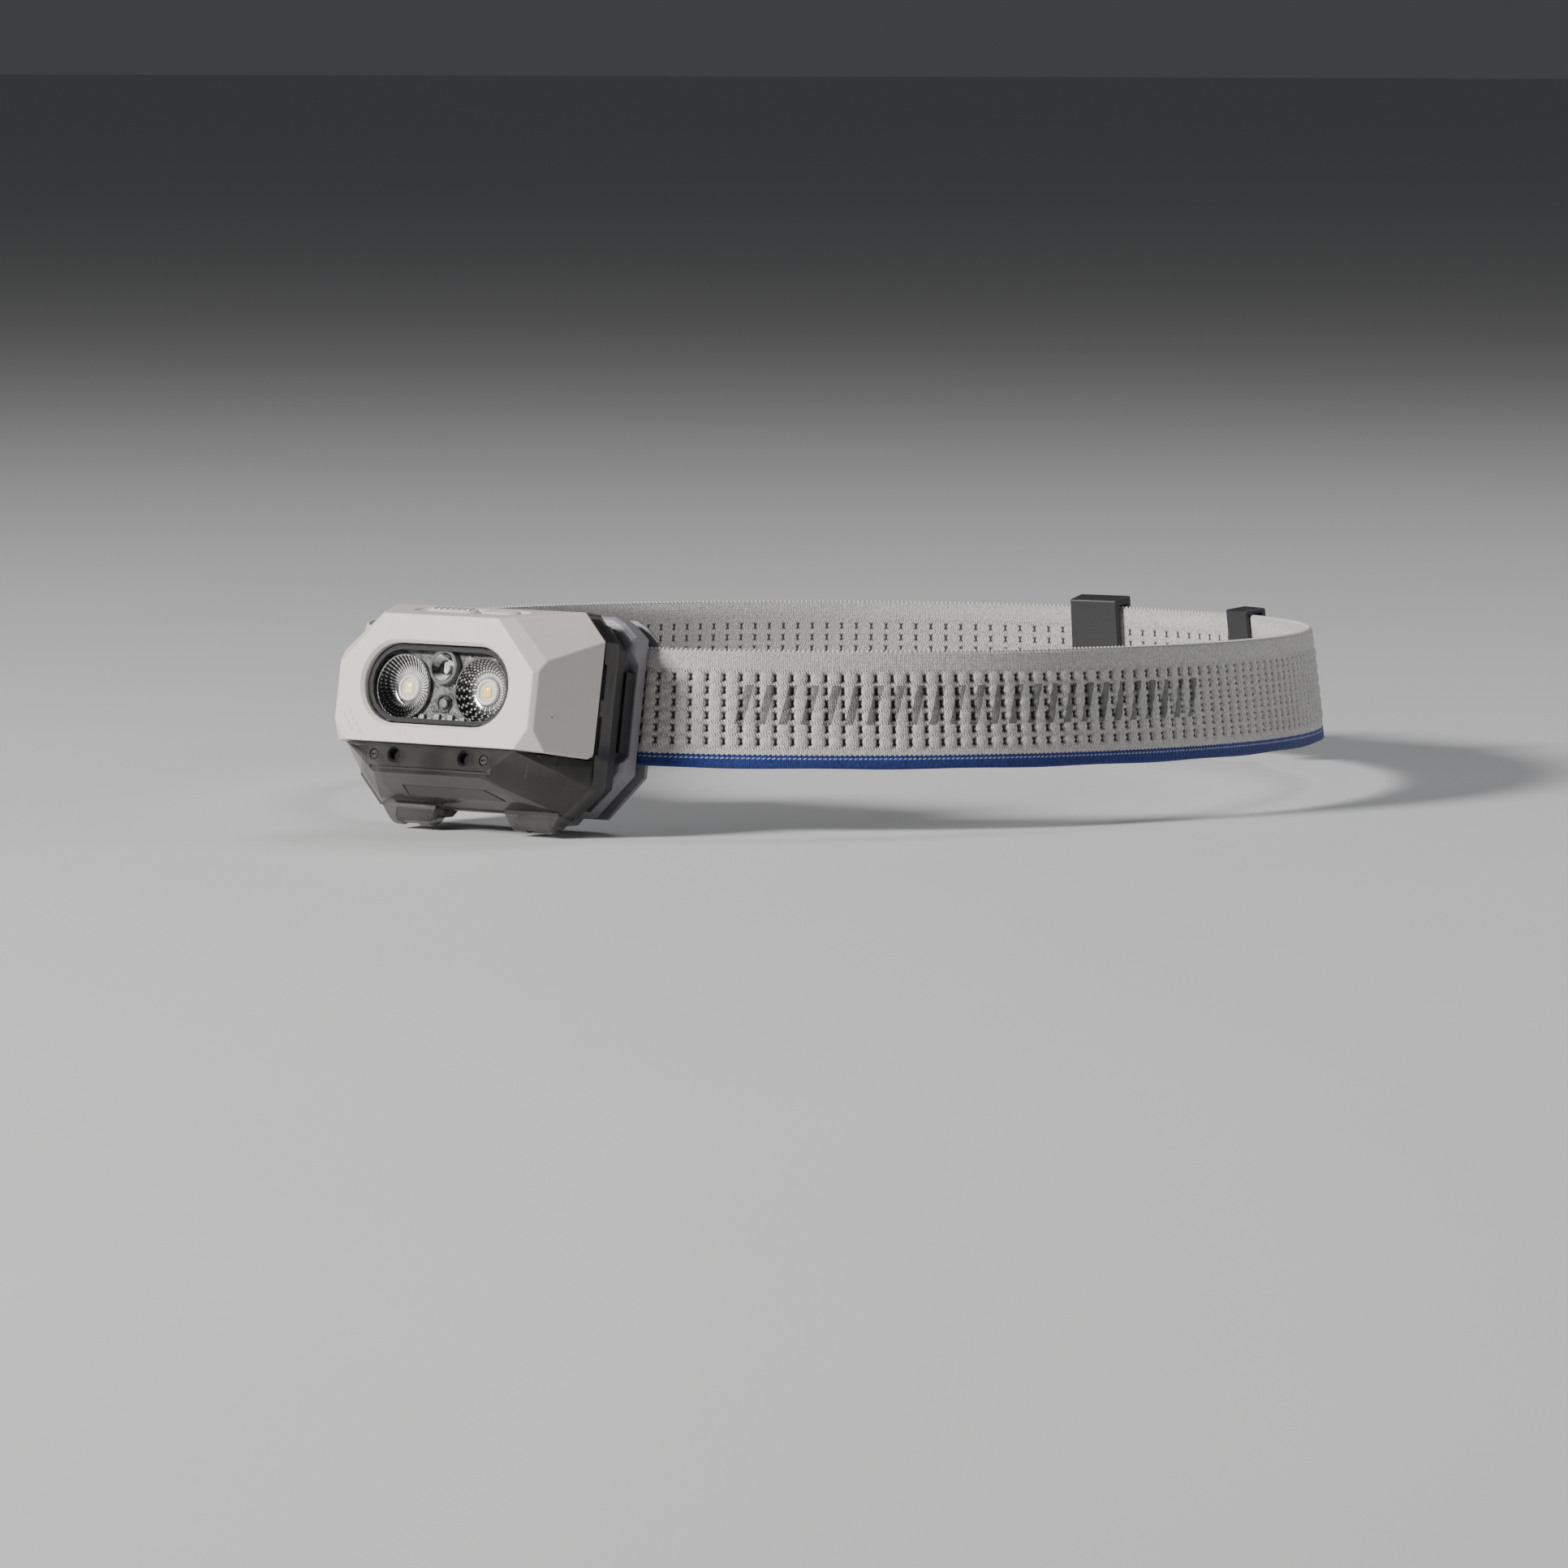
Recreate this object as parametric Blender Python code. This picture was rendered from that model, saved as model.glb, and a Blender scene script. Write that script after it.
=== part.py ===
"""A miner's cap lamp: a faceted head with two reflectors, tilting on a bracket on an elastic strap.

Lengths are in millimetres and are scaled to metres as each mesh is made. X is to the wearer's left,
-Y is the way the lamp shines and Z is up. The head and its bracket are drawn upright in the lamp
frame, whose origin is the middle of the bezel's top front edge, and that frame leans back by LEAN
on the strap. The world origin is the middle of the cap pad's back face.
"""

from math import asin, atan2, cos, hypot, pi, radians, sin, sqrt

import bmesh
import bpy
from mathutils import Matrix, Vector

MM = 0.001
GAP = 0.3  # between pieces that touch on the real lamp
LEAN = radians(10)  # the head looks up by this much when it is closed against its bracket
SIDES = ((-1, "right"), (1, "left"))  # the wearer's right is at -X

# Bezel and housing: half widths and heights of the two octagons they run between.
WALL = 1.6
BEZEL_BACK = 19.2
BAND_FRONT = BEZEL_BACK + GAP
BAND_BACK = 24.7
BEZEL_CHAMFER = 1.1
BEZEL_FACE_WALL = 2.3
BEZEL_FRONT = [(17, 0), (28.9, -12.3), (28.9, -25.8), (25.3, -30.8)]
BEZEL_REAR = [(28.3, 4.1), (35, -2.7), (35, -28.9), (33, -30.8)]
BAND = [(28.3, 4.1), (35, -2.7), (35, -37.7), (28, -44.6)]
BELLY_TOP = -30.8 - GAP
BELLY_FRONT_Y = 0.6
BELLY_FRONT = [(25.3, BELLY_TOP), (20.7, -34.5), (16.1, -38.0)]
BELLY_REAR = [(35, BELLY_TOP), (35, -37.7), (28, -44.6)]
COVER_FRONT = BAND_BACK + 1.4
COVER_BACK = 31.0
COVER_INSET = 2.1

# Optics.
WINDOW_WIDTH, WINDOW_HEIGHT, WINDOW_Z = 43.3, 19.3, -16.5
REFLECTOR_X, REFLECTOR_Z, REFLECTOR_RADIUS = 11.8, -17.2, 7.9
REFLECTOR_FRONT, REFLECTOR_BACK = 3.1, 6.0
BOARD_Y = REFLECTOR_BACK + 0.6  # front face of the board the LEDs stand on
CENTRE_LENS_Z, CENTRE_LENS_RADIUS = -12.0, 4.2

# Tilt joint: lugs on the housing, barrels on the bracket, one pin through each pair.
TILT_Y, TILT_Z = 21.5, -46.4
LUG_INNER, LUG_OUTER, LUG_CHEEK, LUG_RADIUS = 10.4, 26.6, 3.4, 2.5
LUG_INNER_SLOPE, LUG_OUTER_SLOPE = 2.4, 3.0  # how far each end slants in on its way down
PIN_RUN = (LUG_INNER + 2.0, LUG_OUTER - 2.8)
ARM_SPAN = (16.6, 21.4)  # the bracket's arm to each barrel, across X
BARREL_RADIUS, PIN_RADIUS = 1.5, 0.7

# Buttons on the sloping top face: middle, length.
PANEL_Y = 11.0
BUTTONS = {"smooth_button": (9.2, 11.0), "ribbed_button": (-5.2, 14.4)}
BUTTON_WIDTH = 5.2
PANEL_DEPTH = 0.9

# Bracket, in the lamp frame.
FRAME_FRONT, FRAME_BACK = 31.4, 37.1
NOTCH_BACK = 34.3  # how far the frame's sides step back round the wings of the rear cover
PLATE_FRONT, PLATE_BACK = 40.9, 42.5
BRACKET = [(27, 4.6), (30, 3.1), (34, -0.1), (34, -32.8), (24, -43.4)]
PAD_BACK = 44.3
PAD_Z = -19.4
BRACKET_SCREWS = [(23.5, 1.1), (20.0, -39.4)]
COVER_SCREWS = [(29.5, -6.2), (29.5, -35.4)]
SCREW_RADIUS, SCREW_HEAD = 0.85, 1.8

# Battery: a 14 mm by 43 mm cell lying across the belly.
CELL_RADIUS, CELL_LENGTH, CELL_Y, CELL_Z = 7.0, 43.0, 14.4, -33.1

# Charging port on the wearer's right side of the rear cover, and its flap.
PORT_Z, PORT_Y = -19.5, 28.5
FLAP_HINGE_Z = -12.8

# Strap, in world directions: an ellipse in plan with a flat where it crosses the bracket.
STRAP_HALF_WIDTH, STRAP_HALF_LENGTH = 112.0, 135.2
STRAP_FLAT = 36.0  # half width of the flat
STRAP_THICK, STRAP_TALL = 1.4, 28.0
STRAP_DROP = 0.022  # it sits lower towards the nape, by this share of the way back
STRAP_LEAN_SIDE = radians(6.6)  # it leans in at the top, with the cap
STRAP_STEPS = 80
TAIL_FROM, TAIL_TO = radians(153), radians(212)
KEEPER_ANGLE, ADJUSTER_ANGLE = radians(159), radians(186)


def shade(name, colour, roughness, metallic=0.0, transmission=0.0):
    """A plain material from a colour, a roughness and a metallic value."""
    material = bpy.data.materials.new(name)
    material.use_nodes = True
    shader = material.node_tree.nodes["Principled BSDF"]
    shader.inputs["Base Color"].default_value = (*colour, 1.0)
    shader.inputs["Roughness"].default_value = roughness
    shader.inputs["Metallic"].default_value = metallic
    shader.inputs["Transmission Weight"].default_value = transmission
    material.diffuse_color = (*colour, 1.0)
    return material


def make_materials():
    """Every material of the lamp, by name."""
    return {
        "bezel": shade("warm_grey_plastic", (0.62, 0.58, 0.54), 0.45),
        "smoke": shade("smoked_plastic", (0.05, 0.052, 0.058), 0.25, transmission=0.3),
        "clear": shade("clear_plastic", (0.9, 0.92, 0.93), 0.05, transmission=0.9),
        "mirror": shade("vacuum_chrome", (0.86, 0.86, 0.87), 0.08, 1.0),
        "dark": shade("dark_plastic", (0.03, 0.03, 0.033), 0.45),
        "rubber": shade("black_rubber", (0.02, 0.02, 0.02), 0.7),
        "bracket": shade("lilac_grey_plastic", (0.24, 0.235, 0.25), 0.4),
        "steel": shade("steel", (0.6, 0.6, 0.6), 0.3, 1.0),
        "aluminium": shade("aluminium", (0.7, 0.71, 0.72), 0.35, 1.0),
        "board": shade("circuit_board", (0.03, 0.12, 0.07), 0.5),
        "led": shade("led_phosphor", (0.85, 0.72, 0.2), 0.4),
        "cell": shade("cell_wrap", (0.03, 0.035, 0.05), 0.35),
        "webbing": shade("elastic_webbing", (0.5, 0.5, 0.5), 0.9),
    }


# ---- outlines in the XZ plane -------------------------------------------------------------------


def both_sides(half):
    """A closed outline from its +X half, listed from the top down."""
    return [*half, *((-x, z) for x, z in reversed(half))]


def inset(outline, distance):
    """A convex outline with every edge moved inwards."""
    count = len(outline)
    area = sum(
        outline[i - 1][0] * outline[i][1] - outline[i][0] * outline[i - 1][1] for i in range(count)
    )
    turn = 1 if area > 0 else -1
    lines = []
    for i, (x, z) in enumerate(outline):
        x2, z2 = outline[(i + 1) % count]
        length = hypot(x2 - x, z2 - z)
        normal = (-(z2 - z) / length * turn, (x2 - x) / length * turn)
        lines.append((*normal, normal[0] * x + normal[1] * z + distance))
    moved = []
    for i, (a, b, c) in enumerate(lines):
        a0, b0, c0 = lines[i - 1]
        det = a0 * b - a * b0
        moved.append(((c0 * b - c * b0) / det, (a0 * c - a * c0) / det))
    return moved


def racetrack(width, height, centre=(0.0, 0.0), steps=10):
    """Two half circles joined by straight runs."""
    radius = height / 2
    outline = []
    for side in (1, -1):
        for k in range(steps + 1):
            angle = side * pi / 2 - side * pi * k / steps
            x = side * (width / 2 - radius) + side * radius * cos(angle)
            outline.append((centre[0] + x, centre[1] + radius * sin(angle)))
    return outline


def rectangle(width, height, centre=(0.0, 0.0)):
    """A plain rectangle about its centre."""
    x, z = width / 2, height / 2
    return [(centre[0] + a, centre[1] + b) for a, b in ((-x, -z), (x, -z), (x, z), (-x, z))]


# ---- solids -------------------------------------------------------------------------------------


def finish(bm, name, material, matrix=None):
    """Turns a bmesh in millimetres into an object, with its normals facing out."""
    if matrix is not None:
        bm.transform(matrix)
    bmesh.ops.connect_verts_nonplanar(bm, angle_limit=radians(0.01), faces=bm.faces)
    bm.transform(Matrix.Scale(MM, 4))
    bmesh.ops.recalc_face_normals(bm, faces=bm.faces)
    mesh = bpy.data.meshes.new(name)
    bm.to_mesh(mesh)
    bm.free()
    mesh.shade_smooth()
    mesh.set_sharp_from_angle(angle=radians(35))
    thing = bpy.data.objects.new(name, mesh)
    bpy.context.scene.collection.objects.link(thing)
    if material:
        mesh.materials.append(material)
    return thing


def loft(name, sections, material=None, matrix=None):
    """A closed solid through (y, outline) sections whose outlines have the same number of points."""
    bm = bmesh.new()
    rings = [[bm.verts.new((x, y, z)) for x, z in outline] for y, outline in sections]
    for first, second in zip(rings, rings[1:]):
        for i in range(len(first)):
            bm.faces.new((first[i - 1], first[i], second[i], second[i - 1]))
    bm.faces.new(rings[0])
    bm.faces.new(rings[-1])
    return finish(bm, name, material, matrix)


def block(name, x, y, z, material=None, matrix=None):
    """A box between (low, high) pairs."""
    outline = [(x[0], z[0]), (x[1], z[0]), (x[1], z[1]), (x[0], z[1])]
    return loft(name, [(y[0], outline), (y[1], outline)], material, matrix)


def turned(name, profile, at, material=None, axis="Y", segments=28, matrix=None):
    """A closed profile of (radius, distance along the axis) points, spun round an axis through a point."""
    bm = bmesh.new()
    rings = []
    for radius, along in profile:
        if radius == 0:
            rings.append([bm.verts.new((0, along, 0))])
            continue
        angles = [2 * pi * k / segments for k in range(segments)]
        rings.append([bm.verts.new((radius * cos(a), along, radius * sin(a))) for a in angles])
    for first, second in zip(rings, rings[1:] + rings[:1]):
        if len(first) == len(second) == 1:
            continue
        for k in range(segments):
            n = (k + 1) % segments
            corners = [first[k % len(first)], first[n % len(first)]]
            corners += [second[n % len(second)], second[k % len(second)]]
            bm.faces.new(list(dict.fromkeys(corners)))
    if axis == "X":
        bm.transform(Matrix.Rotation(-pi / 2, 4, "Z"))
    bm.transform(Matrix.Translation(at))
    return finish(bm, name, material, matrix)


def rod(name, radius, start, end, at, material=None, axis="Y", segments=20, matrix=None):
    """A plain cylinder along X or Y, from start to end on that axis."""
    profile = [(0, start), (radius, start), (radius, end), (0, end)]
    return turned(name, profile, at, material, axis, segments, matrix)


def boolean(target, other, operation):
    """Joins or cuts with another solid, which is used up."""
    modifier = target.modifiers.new(operation.lower(), "BOOLEAN")
    modifier.object = other
    modifier.operation = operation
    bpy.context.view_layer.update()
    graph = bpy.context.evaluated_depsgraph_get()
    mesh = bpy.data.meshes.new_from_object(target.evaluated_get(graph))
    target.modifiers.clear()
    mesh.name = target.name
    target.data = mesh
    bpy.data.objects.remove(other)
    mesh.shade_smooth()
    mesh.set_sharp_from_angle(angle=radians(35))
    return target


def cut(target, *tools):
    """Takes tools away from a solid."""
    for tool in tools:
        boolean(target, tool, "DIFFERENCE")
    return target


def fuse(target, *pieces):
    """Adds pieces to a solid."""
    for piece in pieces:
        boolean(target, piece, "UNION")
    return target


def top_face(y):
    """Height of the bezel's sloping top face."""
    return 4.1 * (y - BEZEL_CHAMFER) / (BEZEL_BACK - BEZEL_CHAMFER)


def on_slope(y, z, angle):
    """A frame on a face that slopes along Y: its Z is square to that face."""
    return Matrix.Translation((0, y, z)) @ Matrix.Rotation(angle, 4, "X")


def panel_frame():
    """The frame of the button panel."""
    return on_slope(PANEL_Y, top_face(PANEL_Y), atan2(4.1, BEZEL_BACK - BEZEL_CHAMFER))


def label_frame():
    """The frame of the label recess, on the belly's lower facet."""
    angle = atan2(BELLY_REAR[2][1] - BELLY_FRONT[2][1], BAND_FRONT - BELLY_FRONT_Y)
    y = 10.5
    z = BELLY_FRONT[2][1] + (y - BELLY_FRONT_Y) * (BELLY_REAR[2][1] - BELLY_FRONT[2][1]) / (
        BAND_FRONT - BELLY_FRONT_Y
    )
    return on_slope(y, z, angle)


# ---- lamp head ----------------------------------------------------------------------------------


def make_bezel(m):
    """The faceted front shell, with its window and the two button holes."""
    front, rear = both_sides(BEZEL_FRONT), both_sides(BEZEL_REAR)
    bezel = loft(
        "front_bezel",
        [(0, inset(front, BEZEL_CHAMFER)), (BEZEL_CHAMFER, front), (BEZEL_BACK, rear)],
        m["bezel"],
    )
    cavity = loft(
        "cavity",
        [(BEZEL_FACE_WALL, inset(front, WALL + 0.2)), (BEZEL_BACK + 1, inset(rear, WALL))],
    )
    window = racetrack(WINDOW_WIDTH, WINDOW_HEIGHT, (0, WINDOW_Z))
    opening = loft("opening", [(-1, window), (BEZEL_FACE_WALL + 1, window)])
    battery_way = block("battery_way", (-29.3, 29.3), (6.5, BEZEL_BACK + 1), (-33, -28))
    cut(bezel, cavity, opening, battery_way)
    panel = racetrack(32.0, 7.4, (0.6, 0), steps=6)
    upright = Matrix.Rotation(-pi / 2, 4, "X")  # an outline's Z becomes the panel's Y
    frame = panel_frame() @ upright
    cut(bezel, loft("panel", [(-1, panel), (PANEL_DEPTH, panel)], matrix=frame))
    for middle, length in BUTTONS.values():
        hole = racetrack(length + 2 * GAP, BUTTON_WIDTH + 2 * GAP, (middle, 0), steps=6)
        cut(bezel, loft("hole", [(-1, hole), (5, hole)], matrix=frame))
    return [bezel]


def make_window(m):
    """The clear window and the gasket behind it."""
    pane = racetrack(WINDOW_WIDTH - 2 * GAP, WINDOW_HEIGHT - 2 * GAP, (0, WINDOW_Z))
    window = loft("window_lens", [(0.5, pane), (1.7, pane)], m["clear"])
    outer = racetrack(WINDOW_WIDTH - 0.7, WINDOW_HEIGHT - 0.7, (0, WINDOW_Z))
    inner = racetrack(WINDOW_WIDTH - 3.0, WINDOW_HEIGHT - 3.0, (0, WINDOW_Z))
    gasket = loft("lens_gasket", [(2.0, outer), (2.7, outer)], m["rubber"])
    cut(gasket, loft("hole", [(1, inner), (4, inner)]))
    return [window, gasket]


def make_optics(m):
    """The carrier, both reflectors, the small centre lens and the three LEDs on their board."""
    plate = racetrack(WINDOW_WIDTH + 3, WINDOW_HEIGHT + 2.4, (0, WINDOW_Z))
    carrier = loft("optic_carrier", [(4.3, plate), (5.5, plate)], m["dark"])
    for x in (-REFLECTOR_X, REFLECTOR_X):
        cut(carrier, rod("hole", 7.7, 3, 7, (x, 0, REFLECTOR_Z), segments=28))
    cut(carrier, rod("hole", 2.9, 3, 7, (0, 0, CENTRE_LENS_Z)))
    made = [carrier]
    deep = REFLECTOR_BACK - REFLECTOR_FRONT
    inside = [(3.0 + 4.5 * sqrt(k / 6), REFLECTOR_BACK - deep * k / 6) for k in range(7)]
    steps = [(REFLECTOR_RADIUS, 0), (REFLECTOR_RADIUS, 0.8), (7.45, 1.0), (6.8, 1.6), (6.1, 2.2)]
    outside = [(radius, REFLECTOR_FRONT + back) for radius, back in steps]
    outside.append((5.4, REFLECTOR_BACK))
    for side, name in SIDES:
        at = (side * REFLECTOR_X, 0, REFLECTOR_Z)
        made.append(turned(f"reflector_{name}", inside + outside, at, m["mirror"]))
        chip = block(
            f"led_{name}",
            (at[0] - 1.7, at[0] + 1.7),
            (BOARD_Y - 1.0, BOARD_Y - GAP),
            (REFLECTOR_Z - 1.7, REFLECTOR_Z + 1.7),
            m["led"],
        )
        made.append(fuse(chip, turned("dome", dome(1.4, 1.1, BOARD_Y - 0.8), at)))
    centre = (0, 0, CENTRE_LENS_Z)
    lens = [(0, 2.3), (2.2, 2.4), (CENTRE_LENS_RADIUS, 3.0), (CENTRE_LENS_RADIUS, 3.9)]
    lens += [(2.6, 4.2), (2.2, 5.0), (0, 5.0)]
    made.append(turned("centre_lens", lens, centre, m["clear"]))
    made.append(rod("led_centre", 1.2, BOARD_Y - 1.3, BOARD_Y - GAP, centre, m["led"], segments=16))
    board = (BOARD_Y, BOARD_Y + 1.0)
    made.append(block("led_board", (-21.5, 21.5), board, (-26.4, -7.2), m["board"]))
    made.append(make_heat_spreader(m))
    return made


def dome(radius, height, base):
    """Profile of a dome that bulges towards -Y from a base."""
    rise = [(radius * cos(a), base - height * sin(a)) for a in (0, pi / 6, pi / 3)]
    return [(0, base + 0.2), (radius, base + 0.2), *rise, (0, base - height)]


def make_heat_spreader(m):
    """An aluminium plate behind the board, with ribs on its back."""
    front = BOARD_Y + 1.3
    plate = block("heat_spreader", (-20, 20), (front, front + 1.2), (-25.6, -8.0), m["aluminium"])
    for x in (-16, -8, 0, 8, 16):
        fuse(plate, block("rib", (x - 0.7, x + 0.7), (front + 0.9, front + 4.1), (-25.0, -8.6)))
    return plate


def belly_outline(front, wall, lift):
    """The belly's outline, moved inwards by a wall and with its open top lifted."""
    outline = both_sides(front)
    if wall:
        outline = inset(outline, wall)
        outline[0] = (outline[0][0], BELLY_TOP + lift)
        outline[-1] = (outline[-1][0], BELLY_TOP + lift)
    return outline


def lug_outline(side):
    """The two lugs' shape from the side, as (y, z): straight flanks and a round end about the pin."""
    arc = [radians(180 + 15 * k) for k in range(13)]
    round_end = [(TILT_Y + LUG_RADIUS * cos(a), TILT_Z + LUG_RADIUS * sin(a)) for a in arc]
    return [(TILT_Y - LUG_RADIUS - 0.5, side), *round_end, (TILT_Y + LUG_RADIUS + 0.5, side)]


def trough_outline(back):
    """The hollow of a lug as a (y, z) outline: round under the barrel and open behind it."""
    room = BARREL_RADIUS + GAP
    bend = [(TILT_Y - room * cos(k * pi / 10), TILT_Z - room * sin(k * pi / 10)) for k in range(6)]
    return [(TILT_Y - room, -44.7), *bend, (back, TILT_Z - room), (back, -44.7)]


def lug_ends(side):
    """Wedges, as (x, z) outlines, that slant both ends of a lug."""
    top, low = -44.7, TILT_Z - LUG_RADIUS
    wedges = []
    for start, slope in ((LUG_INNER, LUG_INNER_SLOPE), (LUG_OUTER, -LUG_OUTER_SLOPE)):
        out = start - slope / 3
        wedge = [(start, top), (start + slope, low), (start + slope, low - 1), (out, low - 1), (out, top)]
        wedges.append([(side * x, z) for x, z in wedge])
    return wedges


def extrude_x(name, outline, x, material=None):
    """A solid of a (y, z) outline between two X positions."""
    bm = bmesh.new()
    ends = [[bm.verts.new((at, y, z)) for y, z in outline] for at in x]
    for i in range(len(outline)):
        bm.faces.new((ends[0][i - 1], ends[0][i], ends[1][i], ends[1][i - 1]))
    bm.faces.new(ends[0])
    bm.faces.new(ends[1])
    return finish(bm, name, material)


def make_housing(m):
    """The smoked shell: belly, band round the back of the bezel, screw bosses and the two lugs."""
    band = both_sides(BAND)
    housing = loft("housing", [(BAND_FRONT, band), (BAND_BACK, band)], m["smoke"])
    rear = inset(both_sides(BELLY_REAR), 0.05)
    outer = [(BELLY_FRONT_Y, both_sides(BELLY_FRONT)), (BAND_FRONT + 0.8, rear)]
    fuse(housing, loft("belly", outer))
    inner = inset(band, WALL)
    cut(housing, loft("band_hollow", [(BAND_FRONT - 1, inner), (BAND_BACK + 1, inner)]))
    hollow = [
        (BELLY_FRONT_Y + WALL, belly_outline(BELLY_FRONT, WALL, 2)),
        (BAND_FRONT + 0.5, belly_outline(BELLY_REAR, WALL + 0.1, 2)),
    ]
    cut(housing, loft("belly_hollow", hollow))
    for x, z in ((side * x, z) for side, _ in SIDES for x, z in COVER_SCREWS):
        boss = sorted((x - 2.6 * x / abs(x), 33.7 * x / abs(x)))
        fuse(housing, block("boss", boss, (BAND_FRONT + 0.6, BAND_BACK - 0.1), (z - 2.6, z + 2.6)))
        cut(housing, rod("bore", SCREW_RADIUS + GAP, BAND_FRONT + 1.2, BAND_BACK + 1, (x, 0, z)))
    for side, _ in SIDES:
        span = sorted((side * LUG_INNER, side * LUG_OUTER))
        fuse(housing, extrude_x("lug", lug_outline(-43.5), span))
        slot = sorted((side * (LUG_INNER + LUG_CHEEK), side * (LUG_OUTER - LUG_CHEEK)))
        back = TILT_Y + LUG_RADIUS + 3
        cut(housing, extrude_x("slot", trough_outline(back), slot))
        sweep = sorted((side * (ARM_SPAN[0] - GAP), side * (ARM_SPAN[1] + GAP)))
        cut(housing, block("arm_way", sweep, (TILT_Y - 1.3, back), (-52, -44.8)))
        bore = sorted((side * (PIN_RUN[0] - 0.2), side * (PIN_RUN[1] + 0.2)))
        at = (0, TILT_Y, TILT_Z)
        cut(housing, rod("bore", PIN_RADIUS + GAP, *bore, at, axis="X", segments=16))
        for end in lug_ends(side):
            cut(housing, loft("end", [(TILT_Y - 4, end), (TILT_Y + 7, end)]))
    for x in (-10.5, 10.5):
        cut(housing, rod("sensor_hole", 1.9, -1, 4, (x, 0, -33.6)))
    for x in (-16.5, 16.5):
        cut(housing, rod("screw_hole", 1.35, -1, 4, (x, 0, -33.8), segments=16))
    recess = label_outline(14.8, 12.4, 6.6)
    frame = label_frame() @ Matrix.Rotation(-pi / 2, 4, "X")
    cut(housing, loft("recess", [(-0.6, recess), (1, recess)], matrix=frame))
    return [housing]


def label_outline(back, front, deep):
    """A shallow trapezoid, wider towards the back."""
    return [(front, -deep / 2), (back, deep / 2), (-back, deep / 2), (-front, -deep / 2)]


def make_front_details(m):
    """The two black sensor windows, the two small screws and the blank label plate."""
    made = []
    for side, name in SIDES:
        made.append(
            rod(f"sensor_window_{name}", 1.6, 0.9, 3.0, (side * 10.5, 0, -33.6), m["dark"])
        )
        at = (side * 16.5, 0, -33.8)
        screw = rod(f"front_screw_{name}", 1.05, 0.8, 5.2, at, m["steel"], segments=16)
        cut(screw, block("drive", (at[0] - 0.7, at[0] + 0.7), (0, 1.2), (-34.0, -33.6)))
        made.append(screw)
    frame = label_frame() @ Matrix.Rotation(-pi / 2, 4, "X")
    plate = label_outline(14.3, 12.0, 5.9)
    made.append(loft("label_plate", [(-0.3, plate), (-0.05, plate)], m["dark"], frame))
    return made


def make_battery(m):
    """The cell, its flat contact, its spring contact and the driver board."""
    half = CELL_LENGTH / 2
    r = CELL_RADIUS
    profile = [(0, -half), (r - 0.5, -half), (r, -half + 0.5), (r, half - 1.5), (r - 0.6, half - 1.0)]
    profile += [(2.8, half - 1.0), (2.8, half), (0, half)]
    at = (0, CELL_Y, CELL_Z)
    cell = turned("battery_cell", profile, at, m["cell"], "X", 32)
    contact = block(
        "battery_contact", (half + 0.3, half + 0.8), (CELL_Y - 4, CELL_Y + 4), (-37, -31), m["steel"]
    )
    coil = [(0, -half - 3.2), (3.4, -half - 3.2), (2.2, -half - 0.3), (0, -half - 0.3)]
    spring = turned("battery_spring", coil, at, m["steel"], "X", 16)
    board = block("driver_board", (-24, 24), (17.4, 18.6), (-25.4, -5.2), m["board"])
    return [cell, contact, spring, board]


def make_buttons(m):
    """Two button caps on the top panel, their switches and the board under them."""
    frame = panel_frame() @ Matrix.Rotation(-pi / 2, 4, "X")
    made = []
    for name, (middle, length) in BUTTONS.items():
        cap = racetrack(length, BUTTON_WIDTH, (middle, 0), steps=6)
        crown = racetrack(length - 0.8, BUTTON_WIDTH - 0.8, (middle, 0), steps=6)
        flange = racetrack(length + 1.6, BUTTON_WIDTH + 1.2, (middle, 0), steps=6)
        button = loft(name, [(-0.5, crown), (-0.1, cap), (2.6, cap)], m["bezel"], frame)
        fuse(button, loft("flange", [(2.3, flange), (2.9, flange)], matrix=frame))
        made.append(button)
        switch = block(
            f"{name}_switch", (middle - 2, middle + 2), (4.0, 5.6), (-2, 2), m["dark"], frame
        )
        made.append(fuse(switch, rod("plunger", 0.9, 3.7, 4.4, (middle, 0, 0), matrix=frame)))
    made.append(block("switch_board", (-14, 15), (5.9, 6.7), (-3.1, 3.1), m["board"], frame))
    return made


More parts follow.
